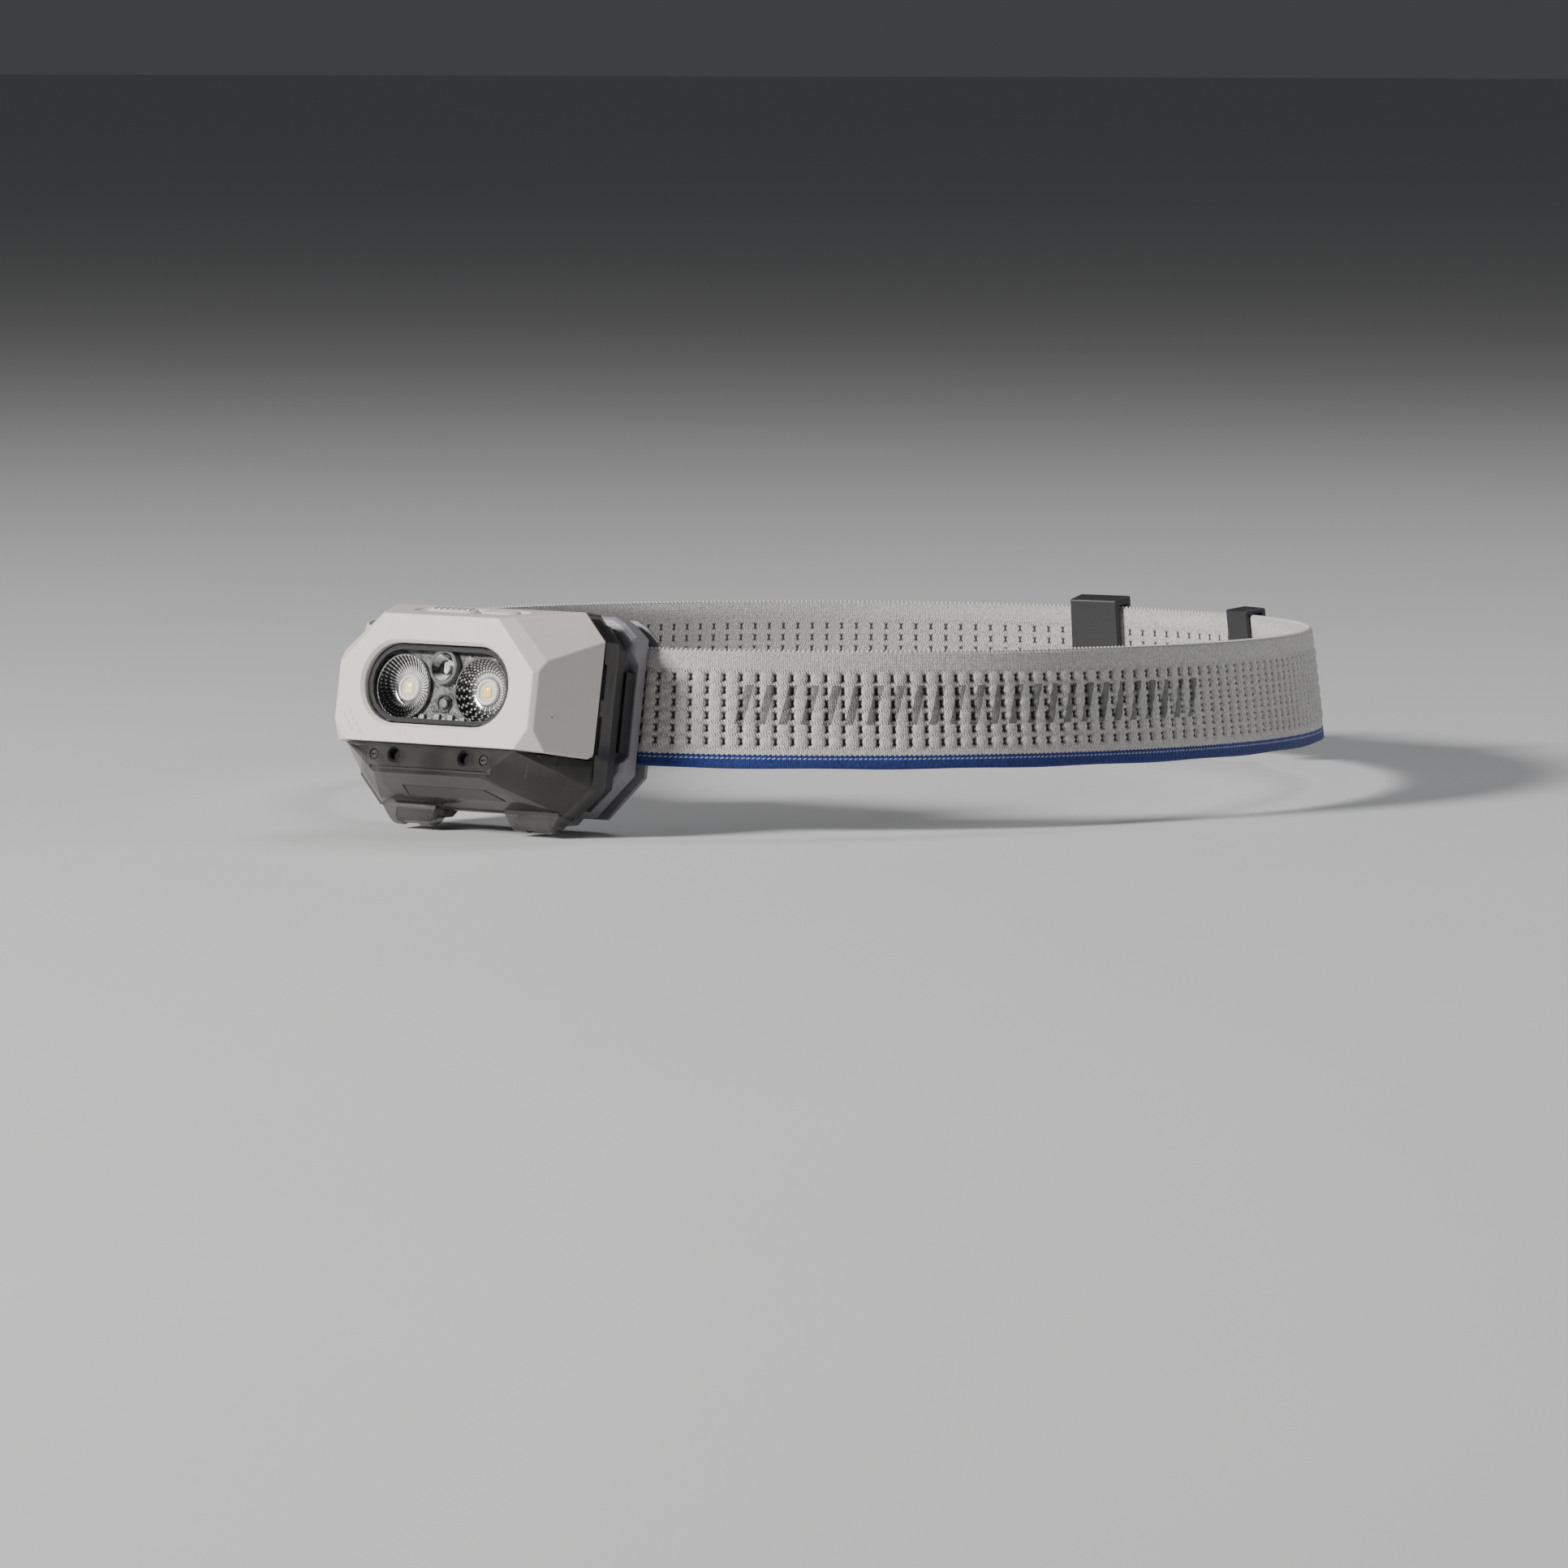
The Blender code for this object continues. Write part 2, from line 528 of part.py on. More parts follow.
def make_rear_cover(m):
    """The dark rear cover, the gasket in front of it and its four screws."""
    band = both_sides(BAND)
    seal = inset(band, 1.0)
    span = [(BAND_BACK + GAP, seal), (COVER_FRONT - GAP, seal)]
    ring = loft("body_gasket", span, m["rubber"])
    hole = inset(band, 2.7)
    cut(ring, loft("hole", [(BAND_BACK - 1, hole), (COVER_FRONT + 1, hole)]))
    cover = loft(
        "rear_cover",
        [
            (COVER_FRONT, inset(band, COVER_INSET)),
            (COVER_BACK - 0.8, inset(band, COVER_INSET)),
            (COVER_BACK, inset(band, COVER_INSET + 0.8)),
        ],
        m["dark"],
    )
    hollow = inset(band, COVER_INSET + 5.2)
    cut(cover, loft("hollow", [(COVER_FRONT - 1, hollow), (COVER_BACK - 1.6, hollow)]))
    made = [ring, cover]
    for side, name in SIDES:
        for level, (x, z) in zip(("upper", "lower"), COVER_SCREWS):
            at = (side * x, 0, z)
            seat, bore, head = COVER_BACK - 1.2, SCREW_RADIUS + GAP, SCREW_HEAD + GAP
            way = [(0, COVER_FRONT - 1), (bore, COVER_FRONT - 1), (bore, seat), (head, seat)]
            way += [(head, COVER_BACK + 1), (0, COVER_BACK + 1)]
            cut(cover, turned("way", way, at, segments=18))
            made.append(screw(f"cover_screw_{level}_{name}", at, seat + GAP, 9.0, m))
        wing = sorted((side * 30.9, side * 33.5))
        fuse(cover, block("wing", wing, (COVER_BACK - 0.5, NOTCH_BACK - GAP), (-27.9, -8.7)))
    port = block("way", (-36, -24), (PORT_Y - 1.9, PORT_Y + 1.9), (PORT_Z - 4.9, PORT_Z + 4.9))
    cut(cover, port)
    return made


def screw(name, at, seat, length, m):
    """A screw whose head rests at seat and faces +Y, with a hexagon socket."""
    profile = [(0, seat - length), (SCREW_RADIUS, seat - length), (SCREW_RADIUS, seat)]
    profile += [(SCREW_HEAD, seat), (SCREW_HEAD, seat + 0.9), (0, seat + 0.9)]
    made = turned(name, profile, at, m["steel"], segments=18)
    return cut(made, rod("socket", 0.85, seat + 0.35, seat + 2, at, segments=6))


def make_port(m):
    """The charging port's metal shell and the rubber flap over it."""
    shell = racetrack(8.9, 3.2, steps=6)
    bore = racetrack(8.1, 2.4, steps=6)
    stand = Matrix.Translation((0, PORT_Y, PORT_Z)) @ Matrix.Rotation(pi / 2, 4, "Z")
    stand = stand @ Matrix.Rotation(pi / 2, 4, "Y")  # along -X, with its long side upright
    port = loft("usb_port", [(25.2, shell), (32.2, shell)], m["steel"], stand)
    cut(port, loft("bore", [(26.4, bore), (34, bore)], matrix=stand))
    low = PORT_Z - 6.2
    flap = block("port_flap", (-34.1, -33.2), (PORT_Y - 1.8, PORT_Y + 1.8), (low, FLAP_HINGE_Z), m["rubber"])
    fuse(flap, rod("roll", 0.45, PORT_Y - 1.8, PORT_Y + 1.8, (-33.65, 0, FLAP_HINGE_Z), segments=12))
    plug = block("plug", (-33.4, -31.2), (PORT_Y - 0.8, PORT_Y + 0.8), (PORT_Z - 3.2, PORT_Z + 3.2))
    return [port, fuse(flap, plug)]


def make_hinge(m):
    """A steel pin and a bright friction washer in each pair of lugs."""
    made = []
    for side, name in SIDES:
        at = (0, TILT_Y, TILT_Z)
        run = sorted((side * PIN_RUN[0], side * PIN_RUN[1]))
        made.append(rod(f"hinge_pin_{name}", PIN_RADIUS, *run, at, m["steel"], "X", 16))
        start = LUG_INNER + LUG_CHEEK + 0.15
        near, far = sorted((side * start, side * (start + 0.6)))
        washer = [(PIN_RADIUS + 0.15, near), (1.5, near), (1.5, far), (PIN_RADIUS + 0.15, far)]
        made.append(turned(f"friction_washer_{name}", washer, at, m["steel"], "X", 20))
    return made


# ---- bracket ------------------------------------------------------------------------------------


def make_bracket_frame(m):
    """The ring behind the head, with side ears and an arm to each hinge barrel."""
    outline = both_sides(BRACKET)
    frame = loft(
        "bracket_frame",
        [(FRAME_FRONT, inset(outline, 0.8)), (FRAME_FRONT + 0.9, outline), (FRAME_BACK, outline)],
        m["bracket"],
    )
    for low, high in ((-25, -5), (5, 25)):
        cut(frame, block("window", (low, high), (FRAME_FRONT - 1, FRAME_BACK + 1), (-32, -8)))
    for side, _ in SIDES:
        notch = [(FRAME_FRONT - 0.8, -31.2), (NOTCH_BACK, -28.2), (NOTCH_BACK, -6.4)]
        notch.append((FRAME_FRONT - 0.8, -2.9))
        cut(frame, extrude_x("notch", notch, sorted((side * 30.6, side * 36))))
        arm = [(TILT_Y, TILT_Z - 1.1), (33.6, -45.6), (36.0, -43.4), (36.0, -41.6), (32.2, -41.6)]
        arm += [(32.2, -44.0), (31.0, -45.0), (TILT_Y, TILT_Z + 1.1)]
        fuse(frame, extrude_x("arm", arm, sorted((side * ARM_SPAN[0], side * ARM_SPAN[1]))))
        run = sorted((side * (LUG_INNER + LUG_CHEEK + 1.0), side * (LUG_OUTER - LUG_CHEEK - 0.3)))
        at = (0, TILT_Y, TILT_Z)
        fuse(frame, rod("barrel", BARREL_RADIUS, *run, at, axis="X"))
        bore = (run[0] - 1, run[1] + 1)
        cut(frame, rod("bore", PIN_RADIUS + GAP / 2, *bore, at, axis="X", segments=16))
    return frame


def make_bracket(m):
    """The frame, the plate behind the strap, two spacers, four screws and the cap pad."""
    outline = both_sides(BRACKET)
    frame = make_bracket_frame(m)
    plate = loft(
        "bracket_plate",
        [(PLATE_FRONT, outline), (PLATE_BACK - 0.5, outline), (PLATE_BACK, inset(outline, 0.5))],
        m["bracket"],
    )
    spacing = (FRAME_BACK + GAP, PLATE_FRONT - GAP)
    upper = block("bracket_spacer_upper", (-27.5, 27.5), spacing, (-1.2, 3.4), m["bracket"])
    lower = block("bracket_spacer_lower", (-22.5, 22.5), spacing, (-42.4, -31.4), m["bracket"])
    pad_outline = rectangle(42, 27, (0, PAD_Z))
    pad = loft(
        "cap_pad",
        [(PLATE_BACK + GAP, pad_outline), (PAD_BACK - 0.5, pad_outline), (PAD_BACK, inset(pad_outline, 0.5))],
        m["rubber"],
    )
    made = [frame, plate, upper, lower, pad]
    for side, name in SIDES:
        for spacer, level, (x, z) in zip((upper, lower), ("upper", "lower"), BRACKET_SCREWS):
            at = (side * x, 0, z)
            for piece in (frame, plate, spacer):
                cut(piece, rod("bore", SCREW_RADIUS + GAP, 34.0, PLATE_BACK + 1, at))
            made.append(screw(f"bracket_screw_{level}_{name}", at, PLATE_BACK + GAP, 7.4, m))
    return made


# ---- strap --------------------------------------------------------------------------------------


def strap_slot():
    """The middle of the strap where it crosses the bracket, in the world, from the lamp's origin."""
    y, z = (FRAME_BACK + PLATE_FRONT) / 2, -16.1
    return y * cos(LEAN) + z * sin(LEAN), z * cos(LEAN) - y * sin(LEAN)


def strap_point(angle):
    """Middle of the strap in plan: 0 is the brow, a quarter turn is +X and a half turn the nape."""
    front, _ = strap_slot()
    meet = STRAP_HALF_LENGTH * cos(asin(STRAP_FLAT / STRAP_HALF_WIDTH))
    x = STRAP_HALF_WIDTH * sin(angle)
    beyond = meet - STRAP_HALF_LENGTH * cos(angle)
    return x, front + (beyond + sqrt(beyond * beyond + 2.6)) / 2


def strap_corner(angle, out, up):
    """A point of the strap's section: out of the loop and up along the leaning band."""
    step = 0.002
    (x0, y0), (x1, y1) = strap_point(angle - step), strap_point(angle + step)
    length = hypot(x1 - x0, y1 - y0)
    outward = Vector(((y1 - y0) / length, -(x1 - x0) / length, 0))
    lean = STRAP_LEAN_SIDE + (LEAN - STRAP_LEAN_SIDE) * max(0.0, cos(angle)) ** 4
    band = Vector((0, 0, cos(lean))) - outward * sin(lean)
    face = outward * cos(lean) + Vector((0, 0, sin(lean)))
    x, y = strap_point(angle)
    front, middle = strap_slot()
    return Vector((x, y, middle - STRAP_DROP * (y - front))) + face * out + band * up


def strap_band(name, angles, out, half_thick, half_tall, material, closed):
    """A band that follows the strap: a ring if closed, or a length with two ends."""
    bm = bmesh.new()
    corners = ((-1, -1), (1, -1), (1, 1), (-1, 1))
    rings = [
        [bm.verts.new(strap_corner(a, out + i * half_thick, j * half_tall)) for i, j in corners]
        for a in angles
    ]
    pairs = list(zip(rings, rings[1:]))
    if closed:
        pairs.append((rings[-1], rings[0]))
    for first, second in pairs:
        for k in range(4):
            bm.faces.new((first[k - 1], first[k], second[k], second[k - 1]))
    if not closed:
        bm.faces.new(rings[0])
        bm.faces.new(rings[-1])
    return finish(bm, name, material)


def spread(start, end, steps):
    """Evenly spaced angles from start to end."""
    return [start + (end - start) * k / steps for k in range(steps + 1)]


def strap_loop(name, angle, width, wall, m):
    """A plastic loop round the strap and its tail: wall is how thick its bars are."""
    turn = width / 2 / 93
    angles = spread(angle - turn, angle + turn, 4)
    middle = (STRAP_THICK + GAP) / 2
    half = STRAP_THICK + GAP / 2
    ring = strap_band(name, angles, middle, half + 0.4 + wall, STRAP_TALL / 2 + 0.6 + wall, m, False)
    wide = spread(angle - 1.6 * turn, angle + 1.6 * turn, 4)
    return cut(ring, strap_band("way", wide, middle, half + 0.4, STRAP_TALL / 2 + 0.6, None, False))


def make_strap(m):
    """The elastic loop, its doubled-back tail, the keeper loop and the sliding adjuster."""
    around = [2 * pi * k / STRAP_STEPS for k in range(STRAP_STEPS)]
    half_thick, half_tall = STRAP_THICK / 2, STRAP_TALL / 2
    strap = strap_band("elastic_strap", around, 0, half_thick, half_tall, m["webbing"], True)
    tail = strap_band(
        "strap_tail",
        spread(TAIL_FROM, TAIL_TO, 14),
        STRAP_THICK + GAP,
        half_thick,
        half_tall,
        m["webbing"],
        False,
    )
    keeper = strap_loop("strap_keeper", KEEPER_ANGLE, 8.0, 1.2, m["dark"])
    adjuster = strap_loop("strap_adjuster", ADJUSTER_ANGLE, 12.0, 2.0, m["dark"])
    return [strap, tail], [keeper, adjuster]


# ---- assembly -----------------------------------------------------------------------------------


def empty(name, location, parent=None, rotation=(0, 0, 0)):
    """An empty that carries pieces."""
    holder = bpy.data.objects.new(name, None)
    holder.location = Vector(location) * MM
    holder.rotation_euler = rotation
    holder.parent = parent
    bpy.context.scene.collection.objects.link(holder)
    return holder


def carry(holder, pieces, offset=(0, 0, 0)):
    """Parents pieces to a holder, moved back by where the holder stands in their frame."""
    for piece in pieces:
        piece.parent = holder
        piece.location = -Vector(offset) * MM


def main():
    for thing in list(bpy.data.objects):
        bpy.data.objects.remove(thing)
    m = make_materials()
    lean = Matrix.Rotation(-LEAN, 4, "X")
    pad = lean @ Vector((0, PAD_BACK, PAD_Z))
    lamp = empty("lamp_frame", -pad, rotation=(-LEAN, 0, 0))
    axis = (0, TILT_Y, TILT_Z)
    tilt = empty("tilt_axis", axis, lamp)
    head = make_bezel(m) + make_window(m) + make_optics(m) + make_housing(m) + make_front_details(m)
    head += make_battery(m) + make_rear_cover(m) + make_buttons(m) + make_port(m)
    carry(tilt, head, axis)
    carry(lamp, make_hinge(m) + make_bracket(m))
    cap = empty("strap_frame", -pad)
    bands, loops = make_strap(m)
    carry(cap, bands + loops)


main()
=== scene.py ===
"""The looks of the miner's cap lamp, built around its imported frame.

Lengths are in millimetres in the lamp frame, whose origin is the middle of the bezel's top front edge.
LAMP carries them to metres in the row frame. The strap is worked out in world directions from the same
origin, and TO_WORLD carries those.
"""

from math import asin, atan2, cos, hypot, pi, radians, sin, sqrt

import bmesh
import bpy
import numpy as np
from mathutils import Matrix, Vector


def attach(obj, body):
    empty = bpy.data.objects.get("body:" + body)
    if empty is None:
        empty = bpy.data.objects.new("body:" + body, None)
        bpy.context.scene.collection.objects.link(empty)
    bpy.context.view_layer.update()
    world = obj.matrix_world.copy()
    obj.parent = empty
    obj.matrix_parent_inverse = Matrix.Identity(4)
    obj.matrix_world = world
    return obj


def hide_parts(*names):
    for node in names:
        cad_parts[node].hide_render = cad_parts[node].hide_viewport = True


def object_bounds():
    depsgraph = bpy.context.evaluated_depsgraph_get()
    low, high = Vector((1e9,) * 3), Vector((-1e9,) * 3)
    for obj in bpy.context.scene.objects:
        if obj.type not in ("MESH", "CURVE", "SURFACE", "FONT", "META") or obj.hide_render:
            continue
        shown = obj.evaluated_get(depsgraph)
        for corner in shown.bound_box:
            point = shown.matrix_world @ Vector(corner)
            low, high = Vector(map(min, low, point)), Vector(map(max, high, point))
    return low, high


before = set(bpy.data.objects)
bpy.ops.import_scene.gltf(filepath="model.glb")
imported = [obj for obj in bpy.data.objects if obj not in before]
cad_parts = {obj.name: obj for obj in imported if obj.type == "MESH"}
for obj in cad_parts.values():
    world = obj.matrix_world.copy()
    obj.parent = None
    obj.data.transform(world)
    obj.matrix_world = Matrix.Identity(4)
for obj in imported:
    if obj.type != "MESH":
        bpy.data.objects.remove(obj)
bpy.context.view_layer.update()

MM = 0.001
LEAN = radians(10)
PAD_BACK, PAD_Z = 44.3, -19.4  # the cap pad's back face, whose middle is the row's origin
TO_WORLD = Matrix.Scale(MM, 4) @ Matrix.Translation(
    -(Matrix.Rotation(-LEAN, 4, "X") @ Vector((0, PAD_BACK, PAD_Z)))
)
LAMP = TO_WORLD @ Matrix.Rotation(-LEAN, 4, "X")

HEAD, BRACKET_BODY = "lamp_head", "bracket"
SIDES = ((-1, "right"), (1, "left"))

# The bezel's corners on the +X side, as (x, y, z).
FLAT = [(17, 0, 0), (28.9, 0, -12.3), (28.9, 0, -25.8), (25.3, 0, -30.8)]
RING = [(19.6, 3.2, 0.68), (30.56, 3.2, -9.3), (30.0, 1.2, -11.8), (30.0, 1.2, -26.0), (31.06, 5, -30.8)]
REAR_TOP = [(28.3, 19.2, 4.1), (35, 19.2, -2.7)]
REAR_LOW = [(35, 19.2, -29.2), (34.92, 18.9, -30.3), (34.53, 17.5, -30.8)]
WINDOW_WIDTH, WINDOW_HEIGHT, WINDOW_Z = 43.3, 19.3, -16.5
REFLECTOR_X, REFLECTOR_Z = 11.8, -17.2
REFLECTOR_FRONT, REFLECTOR_BACK = 3.1, 6.0
CENTRE_LENS_Z = -12.0
PANEL_Y, PANEL_SLOPE = 11.0, atan2(4.1, 18.1)
BUTTON_WIDTH = 5.2
BUTTONS = {"smooth_button": (9.2, 11.0), "ribbed_button": (-5.2, 14.4)}
GAP = 0.3

# Strap.
STRAP_HALF_WIDTH, STRAP_HALF_LENGTH, STRAP_FLAT = 112.0, 135.2, 36.0
STRAP_THICK, STRAP_TALL = 1.4, 28.0
STRAP_DROP, STRAP_LEAN_SIDE = 0.022, radians(6.6)
SLOT_Y, SLOT_Z = 39.0, -16.1
COLUMN, ROW = 4.05, 3.05  # spacing of the eyelets along and across the band
EYELET_TOP = STRAP_TALL / 2 - 6.35  # height of the top row above the band's middle
ROWS = 6
TAIL_FROM, TAIL_TO = radians(153), radians(212)
TAIL_PHASE = 300  # where the tail stands along the pattern, past the end of the print
PICOT_STEP = 1.2
BLUE_EDGE, BLUE_DASHES = 3.4, 2.4  # heights above the band's foot
PRINT_FROM, PRINT_TO = 56.0, 184.0  # the printed run, along the band
PRINT_PITCH, PRINT_BAR, PRINT_SLANT = 5.2, 2.1, 0.28
PRINT_MIDDLE, PRINT_HALF = 1.2, 4.7  # up the band

# Stage, in metres and watts: place, size, power, colour and aim of each light.
LIGHTS = {
    "key": ((-0.8, -2.0, 1.1), 0.5, 96, (1.0, 0.985, 0.965), (0, 0, 0)),
    "side": ((0.8, 0.6, 0.35), 0.4, 1.7, (0.97, 0.98, 1.0), (0.11, 0.14, 0)),
    "back": ((0.1, 1.2, 1.7), 0.8, 9, (0.98, 0.99, 1.0), (0, 0, 0)),
}
FLOOR_HALF, FLOOR_CLEARANCE = 40.0, 0.001
VIEW_AZIMUTH, VIEW_ELEVATION, VIEW_DISTANCE = radians(36), radians(5), 2000.0  # the last in millimetres


# ---- node helpers -------------------------------------------------------------------------------


class Shader:
    """A material under construction: short calls that add and link nodes."""

    def __init__(self, name):
        self.material = bpy.data.materials.new(name)
        self.material.use_nodes = True
        self.tree = self.material.node_tree
        self.base = self.tree.nodes["Principled BSDF"]
        self.output = self.tree.nodes["Material Output"]

    def node(self, kind, inputs=None, **settings):
        made = self.tree.nodes.new(kind)
        for key, value in settings.items():
            setattr(made, key, value)
        for key, value in (inputs or {}).items():
            self.put(made.inputs[key], value)
        return made

    def put(self, socket, value):
        if isinstance(value, bpy.types.NodeSocket):
            self.tree.links.new(value, socket)
        else:
            socket.default_value = value

    def math(self, operation, a, b=0.0, c=0.0, clamp=False):
        made = self.node("ShaderNodeMath", {0: a, 1: b, 2: c}, operation=operation, use_clamp=clamp)
        return made.outputs[0]

    def mix(self, factor, a, b):
        made = self.node("ShaderNodeMix", data_type="RGBA")
        self.put(made.inputs[0], factor)
        self.put(made.inputs[6], a)
        self.put(made.inputs[7], b)
        return made.outputs[2]

    def noise(self, scale, detail=3.0, vector=None, roughness=0.5):
        made = self.node("ShaderNodeTexNoise", {"Scale": scale, "Detail": detail, "Roughness": roughness})
        self.put(made.inputs["Vector"], vector if vector is not None else self.coords())
        return made.outputs["Fac"]

    def coords(self):
        return self.node("ShaderNodeTexCoord").outputs["Object"]

    def ramp(self, value, low, high, from_low=0.0, from_high=1.0):
        made = self.node("ShaderNodeMapRange", {0: value, 1: from_low, 2: from_high, 3: low, 4: high})
        return made.outputs[0]

    def bump(self, height, strength, distance, after=None):
        made = self.node("ShaderNodeBump", {"Strength": strength, "Distance": distance, "Height": height})
        if after is not None:
            self.put(made.inputs["Normal"], after)
        return made.outputs[0]

    def set(self, **values):
        for key, value in values.items():
            self.put(self.base.inputs[key.replace("_", " ")], value)
        return self.material


def rgba(r, g, b):
    return (r, g, b, 1.0)


def moulded(name, colour, roughness, grain=0.00012, spread=0.06, coat=0.0, specks=0.0):
    """Moulded plastic: a fine spark-eroded grain, and a little drift in colour and gloss."""
    s = Shader(name)
    drift = s.noise(60, 4)
    dark = rgba(*(c * (1 - spread) for c in colour))
    light = rgba(*(min(1, c * (1 + spread)) for c in colour))
    fine = s.noise(5200, 2)
    rough = s.ramp(s.noise(900, 3), roughness - 0.05, roughness + 0.07)
    tone = s.mix(drift, dark, light)
    if specks:
        speck = s.ramp(s.noise(620, 1), 0.0, 1.0, 1 - specks, 1 - specks + 0.03)
        tone = s.mix(speck, tone, rgba(0.12, 0.11, 0.1))
    return s.set(
        Base_Color=tone,
        Roughness=rough,
        Normal=s.bump(fine, 0.35, grain),
        Coat_Weight=coat,
        Coat_Roughness=0.15,
    )


def smoked():
    """Smoked plastic: half see-through, with a hard gloss."""
    s = Shader("smoked_polycarbonate")
    cloud = s.ramp(s.noise(75, 5), 0.0, 1.0, 0.3, 0.7)
    s.set(
        Base_Color=s.mix(cloud, rgba(0.022, 0.0216, 0.02), rgba(0.09, 0.0885, 0.083)),
        Roughness=s.ramp(s.noise(260, 3), 0.14, 0.28),
        Normal=s.bump(s.noise(2600, 2), 0.18, 0.0001),
        Coat_Weight=0.9,
        Coat_Roughness=0.07,
    )
    clear = s.node("ShaderNodeBsdfTransparent", {"Color": rgba(0.75, 0.75, 0.73)})
    both = s.node("ShaderNodeMixShader", {0: 0.5})
    s.put(both.inputs[1], s.base.outputs[0])
    s.put(both.inputs[2], clear.outputs[0])
    s.put(s.output.inputs[0], both.outputs[0])
    return s.material


def clear_pane():
    """A clear pane: a reflection over what is behind it, faint face on and strong only at a glance."""
    s = Shader("clear_pane")
    facing = s.node("ShaderNodeLayerWeight", {"Blend": 0.5}).outputs["Facing"]
    reflected = s.math("MULTIPLY_ADD", s.math("POWER", facing, 5.0), 0.96, 0.04)
    gloss = s.node("ShaderNodeBsdfGlossy", {"Color": rgba(1, 1, 1), "Roughness": 0.04})
    clear = s.node("ShaderNodeBsdfTransparent", {"Color": rgba(1.0, 1.0, 1.0)})
    both = s.node("ShaderNodeMixShader")
    s.put(both.inputs[0], reflected)
    s.put(both.inputs[1], clear.outputs[0])
    s.put(both.inputs[2], gloss.outputs[0])
    s.put(s.output.inputs[0], both.outputs[0])
    return s.material


def lens_glass():
    """Clear moulded optics that bend what is behind them."""
    s = Shader("clear_optic")
    return s.set(
        Base_Color=rgba(0.95, 0.96, 0.97),
        Transmission_Weight=1.0,
        Roughness=s.ramp(s.noise(900), 0.02, 0.06),
        IOR=1.49,
    )


def metal(name, colour, roughness, brushed=0.0):
    """Bare metal with fine scratches."""
    s = Shader(name)
    stretch = s.node("ShaderNodeMapping", {"Vector": s.coords(), "Scale": (300.0, 4000.0, 4000.0)})
    scratch = s.noise(1.0, 3, stretch.outputs[0])
    return s.set(
        Base_Color=s.mix(s.noise(300), rgba(*(c * 0.9 for c in colour)), rgba(*colour)),
        Metallic=1.0,
        Roughness=s.ramp(scratch, roughness - 0.04, roughness + 0.08),
        Normal=s.bump(scratch, brushed, 0.00005),
    )


def striped_glow(name, colour, pale):
    """A phosphor sheet crossed by fine slanting lines of painted reflection, with a painted glow though the
    LED is not lit.
    """
    s = Shader(name)
    split = s.node("ShaderNodeSeparateXYZ", {0: s.coords()})
    slant = s.math("MULTIPLY_ADD", split.outputs[2], 0.7, split.outputs[0])
    lines = s.math("SINE", s.math("MULTIPLY", slant, 2 * pi / 0.00042))
    tone = s.mix(s.ramp(lines, 0.0, 1.0, -1.0, 1.0), rgba(*colour), rgba(*pale))
    # Painted glow: the emission lifts the unlit LED out of the shade behind the window.
    return s.set(Base_Color=tone, Roughness=0.3, Emission_Color=tone, Emission_Strength=0.55)


def fluted_chrome():
    """Vacuum chrome with painted reflections: the mesh's tone layer paints its flutes' highlights and shade
    into the colour.
    """
    s = Shader("fluted_chrome")
    tone = s.node("ShaderNodeAttribute", attribute_name="tone").outputs["Fac"]
    painted_reflection = s.ramp(tone, 0.0, 1.0, 0.12, 0.8)
    return s.set(
        # Painted reflection: bright tones become a near-white, less metallic colour, and dark tones near
        # black.
        Base_Color=s.mix(painted_reflection, rgba(0.006, 0.006, 0.007), rgba(0.98, 0.98, 0.97)),
        Metallic=s.ramp(tone, 0.9, 0.25),
        Roughness=s.ramp(s.noise(900), 0.1, 0.18),
        Coat_Weight=0.5,
        Coat_Roughness=0.05,
    )


def cloudy_carrier():
    """Smoked moulding behind the window, mottled by what it carries."""
    s = Shader("mottled_carrier")
    cloud = s.ramp(s.noise(330, 5, roughness=0.6), 0.0, 1.0, 0.38, 0.66)
    return s.set(
        Base_Color=s.mix(cloud, rgba(0.022, 0.023, 0.023), rgba(0.19, 0.196, 0.188)),
        Roughness=s.ramp(cloud, 0.2, 0.42),
        Coat_Weight=0.6,
        Coat_Roughness=0.1,
        Normal=s.bump(cloud, 0.4, 0.0004),
    )


def circuit_board():
    """Solder mask with pale tracks."""
    s = Shader("solder_mask")
    brick = s.node(
        "ShaderNodeTexBrick",
        {"Vector": s.coords(), "Scale": 260.0, "Mortar Size": 0.04, "Color1": rgba(0.02, 0.05, 0.035)},
    )
    s.put(brick.inputs["Color2"], rgba(0.025, 0.06, 0.04))
    s.put(brick.inputs["Mortar"], rgba(0.1, 0.13, 0.1))
    return s.set(Base_Color=brick.outputs[0], Roughness=s.ramp(s.noise(700), 0.3, 0.5))


def rubber(name, value):
    """Soft rubber, dusty in places."""
    s = Shader(name)
    dust = s.noise(90, 5)
    return s.set(
        Base_Color=s.mix(dust, rgba(value, value, value), rgba(value * 2, value * 2, value * 2)),
        Roughness=s.ramp(dust, 0.6, 0.85),
        Normal=s.bump(s.noise(3500, 2), 0.4, 0.0001),
    )


